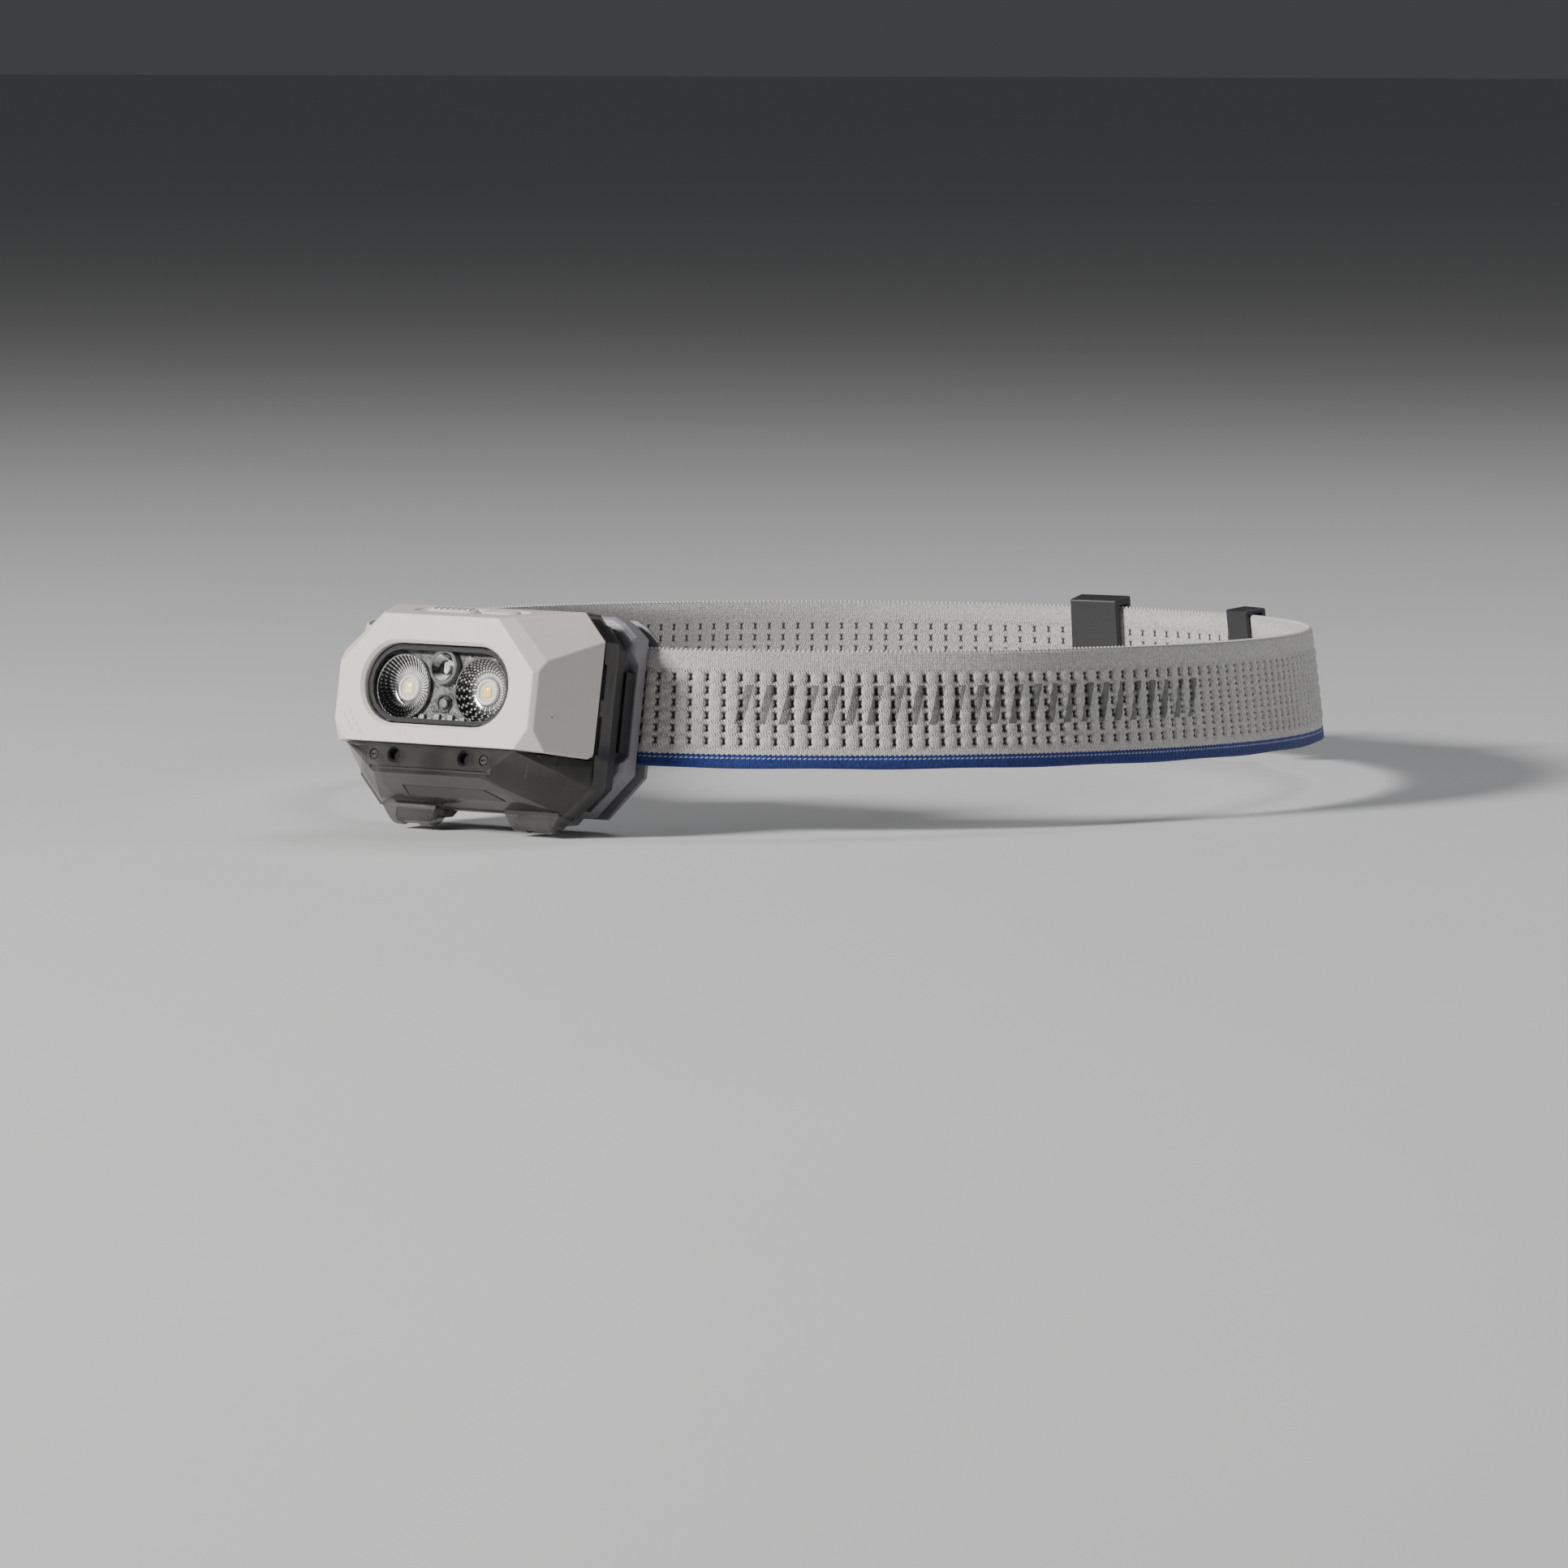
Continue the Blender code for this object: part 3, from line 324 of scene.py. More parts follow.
def webbing():
    """Knitted elastic, worked out from the length (u) and height (v) along the band, both in millimetres."""
    s = Shader("knitted_elastic")
    uv = s.node("ShaderNodeUVMap", uv_map="band")
    split = s.node("ShaderNodeSeparateXYZ", {0: uv.outputs[0]})
    u = s.math("MULTIPLY", split.outputs[0], 1000.0)
    v = s.math("MULTIPLY", split.outputs[1], 100.0)
    hole, chain = knit_masks(s, u, v)
    fuzz = s.noise(1500, 4)
    zigzag = s.math("PINGPONG", v, 0.36)
    wander = s.math("ADD", u, s.math("MULTIPLY", zigzag, 0.8))
    wale = s.math("ABSOLUTE", s.math("SINE", s.math("MULTIPLY", wander, pi / 0.5)))
    loops = s.math("SINE", s.math("MULTIPLY", s.math("ADD", u, s.math("MULTIPLY", v, 0.5)), 2 * pi / 0.675))
    loops = s.math("MULTIPLY", chain, s.ramp(loops, -0.75, 1.0, -1.0, 1.0))
    yarn = s.math("MULTIPLY_ADD", loops, 0.55, s.math("MULTIPLY", wale, 0.45))
    yarn = s.math("ADD", yarn, s.ramp(fuzz, -0.3, 0.3, 0.3, 0.7))
    pale = s.mix(s.ramp(yarn, 0.0, 1.0, -0.35, 0.95), rgba(0.27, 0.262, 0.248), rgba(0.86, 0.85, 0.82))
    stain = s.ramp(s.noise(28, 4), 0.0, 0.55, 0.55, 0.8)
    pale = s.mix(stain, pale, rgba(0.5, 0.46, 0.4))
    # Painted shade: the eyelets are coloured near black at the bottoms of shallow pits, for the dark seen
    # through the real holes; the print goes near black there too.
    pale = s.mix(hole, pale, rgba(0.05, 0.048, 0.046))
    outer = s.node("ShaderNodeAttribute", attribute_name="outer").outputs["Fac"]
    printed = s.math("MULTIPLY", print_mask(s, u, v), s.ramp(fuzz, 1.0, 0.7, 0.55, 0.75))
    printed = s.math("MULTIPLY", printed, outer)
    ink = s.mix(hole, s.mix(wale, rgba(0.13, 0.131, 0.128), rgba(0.2, 0.2, 0.195)), rgba(0.01, 0.01, 0.01))
    pale = s.mix(printed, pale, ink)
    foot = -STRAP_TALL / 2
    blue = s.mix(s.ramp(yarn, 0.0, 1.0, -0.2, 0.6), rgba(0.003, 0.009, 0.062), rgba(0.013, 0.04, 0.25))
    dash_line = s.math("LESS_THAN", s.math("ABSOLUTE", s.math("SUBTRACT", v, foot + BLUE_DASHES)), 0.2)
    slant = s.math("FRACT", s.math("DIVIDE", s.math("SUBTRACT", u, v), 1.2))
    dash = s.math("MULTIPLY", dash_line, s.math("LESS_THAN", slant, 0.6))
    blue = s.mix(dash, blue, rgba(0.3, 0.34, 0.52))
    scallop = s.math("MULTIPLY", s.math("PINGPONG", u, 0.6), 0.55)
    is_blue = s.math("LESS_THAN", s.math("ADD", v, scallop), foot + BLUE_EDGE)
    s.set(
        Base_Color=s.mix(is_blue, pale, blue),
        Roughness=s.math("SUBTRACT", 0.9, s.math("MULTIPLY", printed, 0.3)),
        Sheen_Weight=0.2,
        Sheen_Roughness=0.5,
        Normal=s.bump(s.math("MULTIPLY_ADD", hole, -1.5, yarn), 0.8, 0.00028),
    )
    return s.material


def knit_masks(s, u, v):
    """Where the eyelets and the chain stitches round them are, each from 0 to 1."""
    rows = s.math("DIVIDE", s.math("SUBTRACT", EYELET_TOP, v), ROW)
    near_row = s.math("SUBTRACT", rows, s.math("ROUND", rows))
    columns = s.math("DIVIDE", u, COLUMN)
    du = s.math("ABSOLUTE", s.math("MULTIPLY", s.math("SUBTRACT", columns, s.math("ROUND", columns)), COLUMN))
    dv = s.math("ABSOLUTE", s.math("MULTIPLY", near_row, ROW))
    waist = s.math("MULTIPLY_ADD", dv, 0.4, 0.22)
    outside = s.math("MAXIMUM", s.math("DIVIDE", du, waist), s.math("DIVIDE", dv, 0.84))
    inside = s.math("MULTIPLY", s.math("GREATER_THAN", rows, -0.62), s.math("LESS_THAN", rows, ROWS - 0.38))
    hole = s.math("MULTIPLY", inside, s.ramp(outside, 1.0, 0.0, 0.7, 1.25))
    chain = s.math("MULTIPLY", inside, s.ramp(s.math("ABSOLUTE", near_row), 0.0, 1.0, 0.3, 0.38))
    return hole, chain


def print_mask(s, u, v):
    """Slanted reflective bars printed along part of the band: 1 on a bar."""
    slanted = s.math("SUBTRACT", u, s.math("MULTIPLY", v, PRINT_SLANT))
    after, before = s.math("GREATER_THAN", slanted, PRINT_FROM), s.math("LESS_THAN", slanted, PRINT_TO)
    inside = s.math("MULTIPLY", after, before)
    tall = s.math("LESS_THAN", s.math("ABSOLUTE", s.math("SUBTRACT", v, PRINT_MIDDLE)), PRINT_HALF)
    step = s.math("MODULO", s.math("SUBTRACT", slanted, PRINT_FROM), PRINT_PITCH)
    bars = s.math("LESS_THAN", step, PRINT_BAR)
    return s.math("MULTIPLY", s.math("MULTIPLY", inside, tall), bars)


# ---- mesh helpers -------------------------------------------------------------------------------


def piece(bm, name, material, body, replaced=(), matrix=LAMP, sharp=35):
    """A bmesh in millimetres becomes a piece that rides on a body."""
    bm.transform(matrix)
    bmesh.ops.recalc_face_normals(bm, faces=bm.faces)
    mesh = bpy.data.meshes.new(name)
    bm.to_mesh(mesh)
    bm.free()
    mesh.shade_smooth()
    mesh.set_sharp_from_angle(angle=radians(sharp))
    made = bpy.data.objects.new(name, mesh)
    bpy.context.scene.collection.objects.link(made)
    mesh.materials.append(material)
    if body:
        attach(made, body)
    if replaced:
        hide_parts(*replaced)
    return made


def softened(node, name, material, body, slot, width=0.25, segments=3, limit=25, more=None):
    """A CAD node's own shape with its facets merged and its edges rounded."""
    bm = bmesh.new()
    bm.from_mesh(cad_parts[node].data)
    bm.transform(LAMP.inverted())
    bmesh.ops.remove_doubles(bm, verts=bm.verts, dist=0.002)
    bmesh.ops.dissolve_limit(bm, angle_limit=radians(0.6), verts=bm.verts, edges=bm.edges)
    if more:
        more(bm)
    made = piece(bm, name, material, body, (node,))
    if width:
        bevel = made.modifiers.new("round", "BEVEL")
        bevel.width = width * MM
        bevel.segments = segments
        bevel.limit_method = "ANGLE"
        bevel.angle_limit = radians(limit)
        bevel.harden_normals = True
        bevel.loop_slide = True
    return made


def racetrack(width, height, centre=(0.0, 0.0), steps=16):
    """Two half circles joined by straight runs, as (x, z) points."""
    radius = height / 2
    outline = []
    for side in (1, -1):
        for k in range(steps + 1):
            angle = side * pi / 2 - side * pi * k / steps
            x = side * (width / 2 - radius) + side * radius * cos(angle)
            outline.append((centre[0] + x, centre[1] + radius * sin(angle)))
    return outline


def loft_into(bm, sections, close=True):
    """Adds a skin through (y, outline) sections, with end caps if close."""
    rings = [[bm.verts.new((x, y, z)) for x, z in outline] for y, outline in sections]
    for first, second in zip(rings, rings[1:]):
        for i in range(len(first)):
            bm.faces.new((first[i - 1], first[i], second[i], second[i - 1]))
    if close:
        bm.faces.new(rings[0])
        bm.faces.new(rings[-1])
    return rings


def spin_into(bm, profile, at, segments=48, axis="Y"):
    """Adds a closed turned shape from (radius, distance along the axis) points."""
    turn = Matrix.Rotation(-pi / 2, 4, "Z") if axis == "X" else Matrix.Identity(4)
    place = Matrix.Translation(at) @ turn
    rings = []
    for radius, along in profile:
        count = 1 if radius == 0 else segments
        angles = [2 * pi * k / segments for k in range(count)]
        ring = [Vector((radius * cos(a), along, radius * sin(a))) for a in angles]
        rings.append([bm.verts.new(place @ point) for point in ring])
    for first, second in zip(rings, rings[1:] + rings[:1]):
        if len(first) == len(second) == 1:
            continue
        for k in range(segments):
            n = (k + 1) % segments
            corners = [first[k % len(first)], first[n % len(first)]]
            corners += [second[n % len(second)], second[k % len(second)]]
            bm.faces.new(list(dict.fromkeys(corners)))


def box_into(bm, x, y, z, matrix=None):
    """Adds a box between (low, high) pairs."""
    corners = [Vector((a, b, c)) for a in x for b in y for c in z]
    if matrix is not None:
        corners = [matrix @ c for c in corners]
    v = [bm.verts.new(c) for c in corners]
    for f in ((0, 1, 3, 2), (4, 6, 7, 5), (0, 4, 5, 1), (2, 3, 7, 6), (0, 2, 6, 4), (1, 5, 7, 3)):
        bm.faces.new([v[i] for i in f])


def as_object(bm, name):
    """A loose cutter in millimetres."""
    bmesh.ops.recalc_face_normals(bm, faces=bm.faces)
    mesh = bpy.data.meshes.new(name)
    bm.to_mesh(mesh)
    bm.free()
    made = bpy.data.objects.new(name, mesh)
    bpy.context.scene.collection.objects.link(made)
    return made


def carve(bm, *cutters):
    """Cuts one bmesh with others, all in millimetres, and returns the result."""
    target = as_object(bm, "target")
    for cutter in cutters:
        tool = as_object(cutter, "tool")
        modifier = target.modifiers.new("cut", "BOOLEAN")
        modifier.object = tool
        modifier.operation = "DIFFERENCE"
        bpy.context.view_layer.update()
        graph = bpy.context.evaluated_depsgraph_get()
        mesh = bpy.data.meshes.new_from_object(target.evaluated_get(graph))
        target.modifiers.clear()
        target.data = mesh
        bpy.data.objects.remove(tool)
    result = bmesh.new()
    result.from_mesh(target.data)
    bpy.data.objects.remove(target)
    return result


# ---- lamp head ----------------------------------------------------------------------------------


def bezel_solid():
    """The bezel's faceted outer form, from its corners on one side."""
    bm = bmesh.new()
    verts = {}

    def v(point, side):
        key = (point[0] * side, point[1], point[2])
        if key not in verts:
            verts[key] = bm.verts.new(key)
        return verts[key]

    a, b, top, low = FLAT, RING, REAR_TOP, REAR_LOW
    for side in (-1, 1):
        for ring in (
            (a[0], a[1], b[1], b[0]),
            (a[1], b[2], b[1]),
            (b[0], b[1], top[1], top[0]),
            (a[1], a[2], b[3], b[2]),
            (b[1], b[2], b[3], b[4], low[2], low[1], low[0], top[1]),
            (a[2], a[3], b[4], b[3]),
        ):
            bm.faces.new([v(p, side) for p in ring])
    for ring in (a, (a[0], b[0], top[0]), (a[3], b[4], low[2]), (*reversed(low), *reversed(top))):
        bm.faces.new([v(p, 1) for p in ring] + [v(p, -1) for p in reversed(ring)])
    bmesh.ops.recalc_face_normals(bm, faces=bm.faces)
    return bm


def inset(outline, distance):
    """A convex outline with every edge moved inwards."""
    count = len(outline)
    area = sum(outline[i - 1][0] * outline[i][1] - outline[i][0] * outline[i - 1][1] for i in range(count))
    turn = 1 if area > 0 else -1
    lines = []
    for i, (x, z) in enumerate(outline):
        x2, z2 = outline[(i + 1) % count]
        length = hypot(x2 - x, z2 - z)
        normal = (-(z2 - z) / length * turn, (x2 - x) / length * turn)
        lines.append((*normal, normal[0] * x + normal[1] * z + distance))
    moved = []
    for i, (a, b, c) in enumerate(lines):
        a0, b0, c0 = lines[i - 1]
        det = a0 * b - a * b0
        moved.append(((c0 * b - c * b0) / det, (a0 * c - a * c0) / det))
    return moved


def both_sides(half):
    """A closed outline from its +X half, listed from the top down."""
    return [*half, *((-x, z) for x, z in reversed(half))]


def panel_matrix():
    """The frame of the button panel: an outline's Z runs along the panel, and Y goes into the bezel."""
    z = 4.1 * (PANEL_Y - 1.1) / 18.1
    slope = Matrix.Translation((0, PANEL_Y, z)) @ Matrix.Rotation(PANEL_SLOPE, 4, "X")
    return slope @ Matrix.Rotation(-pi / 2, 4, "X")


def make_bezel(material):
    """The faceted shell: rounded edges, a chamfered window and the button panel."""
    bm = bezel_solid()
    edges = [e for e in bm.edges if e.calc_face_angle(0) > radians(4)]
    bmesh.ops.bevel(
        bm, geom=edges, offset=0.4, offset_type="OFFSET", segments=3, profile=0.6, affect="EDGES",
        clamp_overlap=True,
    )
    cavity = bmesh.new()
    front = both_sides([(p[0], p[2]) for p in FLAT])
    rear = both_sides([(28.3, 4.1), (35, -2.7), (35, -28.9), (33, -30.8)])
    loft_into(cavity, [(2.3, inset(front, 1.8)), (20.2, inset(rear, 1.6))])
    opening = bmesh.new()
    wide, rim = (racetrack(WINDOW_WIDTH + w, WINDOW_HEIGHT + w, (0, WINDOW_Z)) for w in (1.5, 0))
    wider = racetrack(WINDOW_WIDTH + 4, WINDOW_HEIGHT + 4, (0, WINDOW_Z))
    loft_into(opening, [(-1.25, wider), (0.0, wide), (0.75, rim), (4, rim)])
    way = bmesh.new()
    box_into(way, (-29.3, 29.3), (6.5, 21), (-33, -28))
    matrix = panel_matrix()
    panel = bmesh.new()
    floor, mouth = racetrack(31.4, 6.8, (0.6, 0), 10), racetrack(33.2, 8.6, (0.6, 0), 10)
    loft_into(panel, [(-0.6, mouth), (0.0, mouth), (0.9, floor)])
    panel.transform(matrix)
    holes = []
    for middle, length in BUTTONS.values():
        hole = bmesh.new()
        outline = racetrack(length + 2 * GAP, BUTTON_WIDTH + 2 * GAP, (middle, 0), 10)
        loft_into(hole, [(-1, outline), (5, outline)])
        hole.transform(matrix)
        holes.append(hole)
    bm = carve(bm, cavity, opening, way, panel, *holes)
    shell = piece(bm, "bezel_shell", material, HEAD, ("front_bezel",), sharp=40)
    shell.modifiers.new("even", "WEIGHTED_NORMAL").keep_sharp = True
    return shell


def make_face_marks(material):
    """Two rows of plain raised dashes in the lower corner of the face, on the wearer's right."""
    bm = bmesh.new()
    for row, count in ((0, 4), (1.7, 3)):
        for k in range(count):
            turn = Matrix.Rotation(radians(52), 4, "Y")
            place = Matrix.Translation((-25.2 - row * 0.79, 0, -23.4 - row * 0.62)) @ turn
            box_into(bm, (k * 1.9, k * 1.9 + 1.3), (-0.16, 0.4), (-0.28, 0.28), place)
    made = piece(bm, "face_dashes", material, HEAD)
    bevel = made.modifiers.new("round", "BEVEL")
    bevel.width, bevel.segments = 0.1 * MM, 2


def make_window_skirt(material):
    """The dark rim that closes the gap between the bezel's face and the carrier."""
    bm = bmesh.new()
    wide, narrow = (racetrack(WINDOW_WIDTH + w, WINDOW_HEIGHT + w, (0, WINDOW_Z)) for w in (1.6, -0.1))
    rings = loft_into(bm, [(2.35, narrow), (2.35, wide), (4.25, wide), (4.25, narrow)], close=False)
    for i in range(len(wide)):
        bm.faces.new((rings[-1][i - 1], rings[-1][i], rings[0][i], rings[0][i - 1]))
    piece(bm, "window_skirt", material, HEAD)


def make_buttons(material):
    """The smooth button has a dished top, and the ribbed one seven raised bars."""
    matrix = panel_matrix()
    for name, (middle, length) in BUTTONS.items():
        bm = bmesh.new()
        steps = ((2.6, 0.0), (0.35, 0.0), (0.05, 0.12), (-0.22, 0.35), (-0.38, 0.75), (-0.42, 1.2))
        sections = [(y, racetrack(length - 2 * i, BUTTON_WIDTH - 2 * i, (middle, 0), 12)) for y, i in steps]
        if name == "smooth_button":
            sections += [
                (-0.2, racetrack(length - 4.2, BUTTON_WIDTH - 3.4, (middle, 0), 12)),
                (-0.1, racetrack(length - 5.6, BUTTON_WIDTH - 4.4, (middle, 0), 12)),
            ]
        loft_into(bm, sections)
        if name == "ribbed_button":
            for k in range(7):
                x = middle + (k - 3) * 1.75
                rib = [(-0.3, 0.42), (-0.62, 0.3), (-0.72, 0.1)]
                loft_into(bm, [(y, racetrack_bar(x, w, BUTTON_WIDTH - 1.7)) for y, w in rib])
        bm.transform(matrix)
        piece(bm, f"{name}_cap", material, name, (name,))


def racetrack_bar(x, half, tall):
    """A short bar with slanted ends across a button."""
    z = tall / 2
    return [(x - half + 0.5, -z), (x + half + 0.5, -z), (x + half - 0.5, z), (x - half - 0.5, z)]


def bowl_point(side, share, turn, flutes):
    """Radius, depth and tone of a reflector's surface, from its back (0) to its rim (1); the tone is painted
    light.
    """
    y = REFLECTOR_BACK - (REFLECTOR_BACK - REFLECTOR_FRONT) * share
    radius = 3.1 + 4.35 * sqrt(share)
    # Painted highlight: lit brightens the flutes that face one side, as if lit from there.
    lit = 0.5 + 0.5 * cos(2 * pi * turn / flutes - radians(40))
    if side < 0:
        # Wearer's right: each flute's ridge is painted bright and its valleys painted dark, with painted
        # rings of light.
        ridge = abs(sin(pi * turn))
        tone = (0.02 + 0.98 * lit**1.4) * ridge**2 + 0.25 * max(0, sin(7 * pi * share + turn)) * ridge
    else:
        # Wearer's left: staggered cells painted light and dark, painted reflections of the small facets.
        rows = 7
        row = share * rows
        ridge = abs(sin(pi * (turn + 0.5 * (int(row) % 2)))) * abs(sin(pi * row)) ** 0.6
        cell = (int(turn + 0.5 * (int(row) % 2)) + int(row)) % 2
        tone = ridge**1.4 * (0.12 + 0.88 * max(lit, cell * 0.9))
    # Painted glow: the tone rises towards the back of the bowl, round the LED.
    tone += 0.8 * max(0, 0.35 - share)
    return radius + 0.22 * ridge * share**0.3, y, min(max(tone, 0), 1)


def make_reflectors(mirror):
    """Two bowls: fluted on the wearer's right, and set with rows of small facets on the left."""
    for side, name in SIDES:
        flutes, fine, down = (44, 6, 20) if side < 0 else (40, 6, 42)
        around = flutes * fine
        bm = bmesh.new()
        # The tone layer carries painted light: painted highlights, reflections and shade at each vertex.
        painted_sheen = bm.verts.layers.float.new("tone")
        rings = []
        for j in range(down + 1):
            ring = []
            for k in range(around):
                r, y, tone = bowl_point(side, j / down, k / fine, flutes)
                a = 2 * pi * k / around
                vert = bm.verts.new((r * cos(a) + side * REFLECTOR_X, y, r * sin(a) + REFLECTOR_Z))
                vert[painted_sheen] = tone
                ring.append(vert)
            rings.append(ring)
        for first, second in zip(rings, rings[1:]):
            for k in range(around):
                n = (k + 1) % around
                bm.faces.new((first[k], first[n], second[n], second[k]))
        made = piece(bm, f"reflector_bowl_{name}", mirror, HEAD, (f"reflector_{name}",), sharp=60)
        solid = made.modifiers.new("wall", "SOLIDIFY")
        solid.thickness = 0.12 * MM
        solid.offset = 1
        rim = bmesh.new()
        rim_painted_sheen = rim.verts.layers.float.new("tone")
        at = (side * REFLECTOR_X, 0, REFLECTOR_Z)
        spin_into(rim, [(7.5, 3.15), (7.7, 2.95), (7.9, 3.1), (7.9, 3.7), (7.55, 3.7)], at, 96)
        # The rims get one even painted mid tone of reflection.
        for vert in rim.verts:
            vert[rim_painted_sheen] = 0.42
        piece(rim, f"reflector_rim_{name}", mirror, HEAD)


def make_leds(m):
    """Each LED: a white ring, a round phosphor sheet with a bright chip in it, and a low clear dome."""
    for side, name in SIDES:
        x, z = side * REFLECTOR_X, REFLECTOR_Z
        ring = bmesh.new()
        profile = [(2.35, 5.7), (2.5, 5.3), (3.0, 5.25), (3.2, 5.6), (3.2, 6.2), (2.35, 6.2)]
        spin_into(ring, profile, (x, 0, z), 48)
        piece(ring, f"led_ring_{name}", m["ceramic"], HEAD)
        # Painted light: the sheet and the chip carry painted reflection stripes and a painted glow, though
        # the LED is off.
        sheet = bmesh.new()
        spin_into(sheet, [(0, 6.3), (2.4, 6.3), (2.4, 5.75), (0, 5.7)], (x, 0, z), 40)
        piece(sheet, f"led_sheet_{name}", m["glowing_grey"], HEAD, (f"led_{name}",))
        chip = bmesh.new()
        box_into(chip, (x - 1.15, x + 1.15), (5.35, 5.72), (z - 1.3, z + 1.3))
        made = piece(chip, f"led_phosphor_{name}", m[f"phosphor_{name}"], HEAD)
        bevel = made.modifiers.new("round", "BEVEL")
        bevel.width, bevel.segments = 0.25 * MM, 3
        dome = bmesh.new()
        curve = [(2.2 * cos(a), 5.6 - 1.0 * sin(a)) for a in np.linspace(0, pi / 2 - 0.08, 9)]
        spin_into(dome, [(0, 5.68), (2.2, 5.68), *curve[1:], (0, 4.6)], (x, 0, z), 40)
        piece(dome, f"led_dome_{name}", m["pane"], HEAD)


def make_centre_lens(m):
    """The small optic between the bowls: a bulging lens in a thick clear ring."""
    at = (0, 0, CENTRE_LENS_Z)
    ring = bmesh.new()
    spin_into(ring, [(4.2, 3.2), (4.1, 2.6), (3.75, 2.4), (3.4, 2.6), (3.3, 4.0), (4.2, 4.0)], at, 64)
    piece(ring, "centre_lens_ring", m["frosted"], HEAD)
    cup = bmesh.new()
    painted_sheen = cup.verts.layers.float.new("tone")
    spin_into(cup, [(3.3, 2.9), (3.1, 2.75), (2.2, 4.6), (1.9, 4.75), (2.0, 4.9), (2.4, 4.7)], at, 48)
    # Painted reflection: the cup's tone paints three light and three dark lobes round the lens.
    for vert in cup.verts:
        turn = atan2(vert.co.z - CENTRE_LENS_Z, vert.co.x)
        vert[painted_sheen] = 0.5 + 0.5 * sin(3 * turn + 0.8)
    piece(cup, "centre_lens_cup", m["mirror"], HEAD)
    lens = bmesh.new()
    bulge = [(1.9 * sin(a), 4.0 - 1.3 * cos(a)) for a in np.linspace(0.12, pi / 2, 9)]
    spin_into(lens, [(0, 2.7), *bulge, (1.9, 4.9), (0, 4.9)], at, 48)
    piece(lens, "centre_lens_bulb", m["optic"], HEAD, ("centre_lens",))
    chip = bmesh.new()
    box_into(chip, (-0.8, 0.8), (4.95, 5.2), (CENTRE_LENS_Z - 0.8, CENTRE_LENS_Z + 0.8))
    piece(chip, "led_phosphor_centre", m["ceramic"], HEAD)


def make_inside(m):
    """What shows between the bowls: small board parts along the carrier's foot, and a post on its face."""
    bm = bmesh.new()
    parts = [(-16.0, 2.0, 1.0), (-7.6, 1.2, 1.3), (-5.6, 1.4, 2.2), (-3.2, 1.1, 1.5), (-1.2, 1.6, 2.4)]
    parts += [(1.1, 0.9, 1.6), (2.9, 1.5, 2.3), (5.0, 1.0, 1.4), (6.6, 1.4, 1.8), (18.0, 1.1, 1.0)]
    for x, width, tall in parts:
        box_into(bm, (x - width / 2, x + width / 2), (3.5, 4.35), (-25.6, -25.6 + tall))
        box_into(bm, (x - width / 2 - 0.25, x - width / 2), (3.4, 4.35), (-25.5, -25.6 + tall * 0.8))
    for k in range(7):
        box_into(bm, (-2.0 + k * 0.6, -1.75 + k * 0.6), (3.7, 4.35), (-22.7, -22.1))
    made = piece(bm, "board_parts", m["solder"], HEAD)
    bevel = made.modifiers.new("round", "BEVEL")
    bevel.width, bevel.segments = 0.08 * MM, 2
    post = bmesh.new()
    spin_into(post, [(0, 3.5), (1.1, 3.5), (1.4, 3.8), (1.4, 4.3), (0, 4.3)], (0.4, 0, -20.6), 32)
    spin_into(post, [(1.9, 3.9), (2.1, 3.8), (2.2, 4.3), (1.9, 4.3)], (0.4, 0, -20.6), 32)
    piece(post, "carrier_post", m["carrier"], HEAD)


def prism_x(bm, outline, ends):
    """Adds a (y, z) outline drawn out along X."""
    rings = [[bm.verts.new((x, y, z)) for y, z in outline] for x in ends]
    for i in range(len(outline)):
        bm.faces.new((rings[0][i - 1], rings[0][i], rings[1][i], rings[1][i - 1]))
    bm.faces.new(rings[0])
    bm.faces.new(rings[1])


GROOVES = ((-16.4, -8.0), (-29.6, -20.4))  # heights of the side grooves above and below their clip


def make_liners(m):
    """Grey carriers lying behind the front band and the lower facet, seen through the smoked shell."""
    bm = bmesh.new()
    box_into(bm, (-17.5, 17.5), (2.5, 2.9), (-37.0, -31.7))
    slope = [(3.4, -37.3), (16.5, -41.6), (16.5, -41.2), (3.4, -36.9)]
    prism_x(bm, slope, (-15.5, 15.5))
    piece(bm, "belly_liner", m["liner"], HEAD)
    ribs = bmesh.new()
    for side, _ in SIDES:
        for k in range(3):
            x = side * (22.5 + 2.6 * k)
            prism_x(ribs, [(6.0, -31.5), (18.5, -31.5), (18.5, -35.5)], sorted((x, x + side * 0.7)))
    piece(ribs, "belly_ribs", m["liner"], HEAD)


def cut_housing(bm):
    """Cuts the step under the housing's front band and the grooves down its sides."""
    step = bmesh.new()
    prism_x(step, [(-0.5, -36.0), (1.5, -36.5), (0.6, -37.9), (-0.5, -38.2)], (-17.6, 17.6))
    cutters = [step]
    for side, _ in SIDES:
        for low, high in GROOVES:
            groove = bmesh.new()
            box_into(groove, sorted((side * 34.3, side * 36)), (19, 20.6), (low, high))
            cutters.append(groove)
    cut = carve(bm.copy(), *cutters)
    bm.clear()
    mesh = bpy.data.meshes.new("grooved")
    cut.to_mesh(mesh)
    cut.free()
    bm.from_mesh(mesh)
    bpy.data.meshes.remove(mesh)


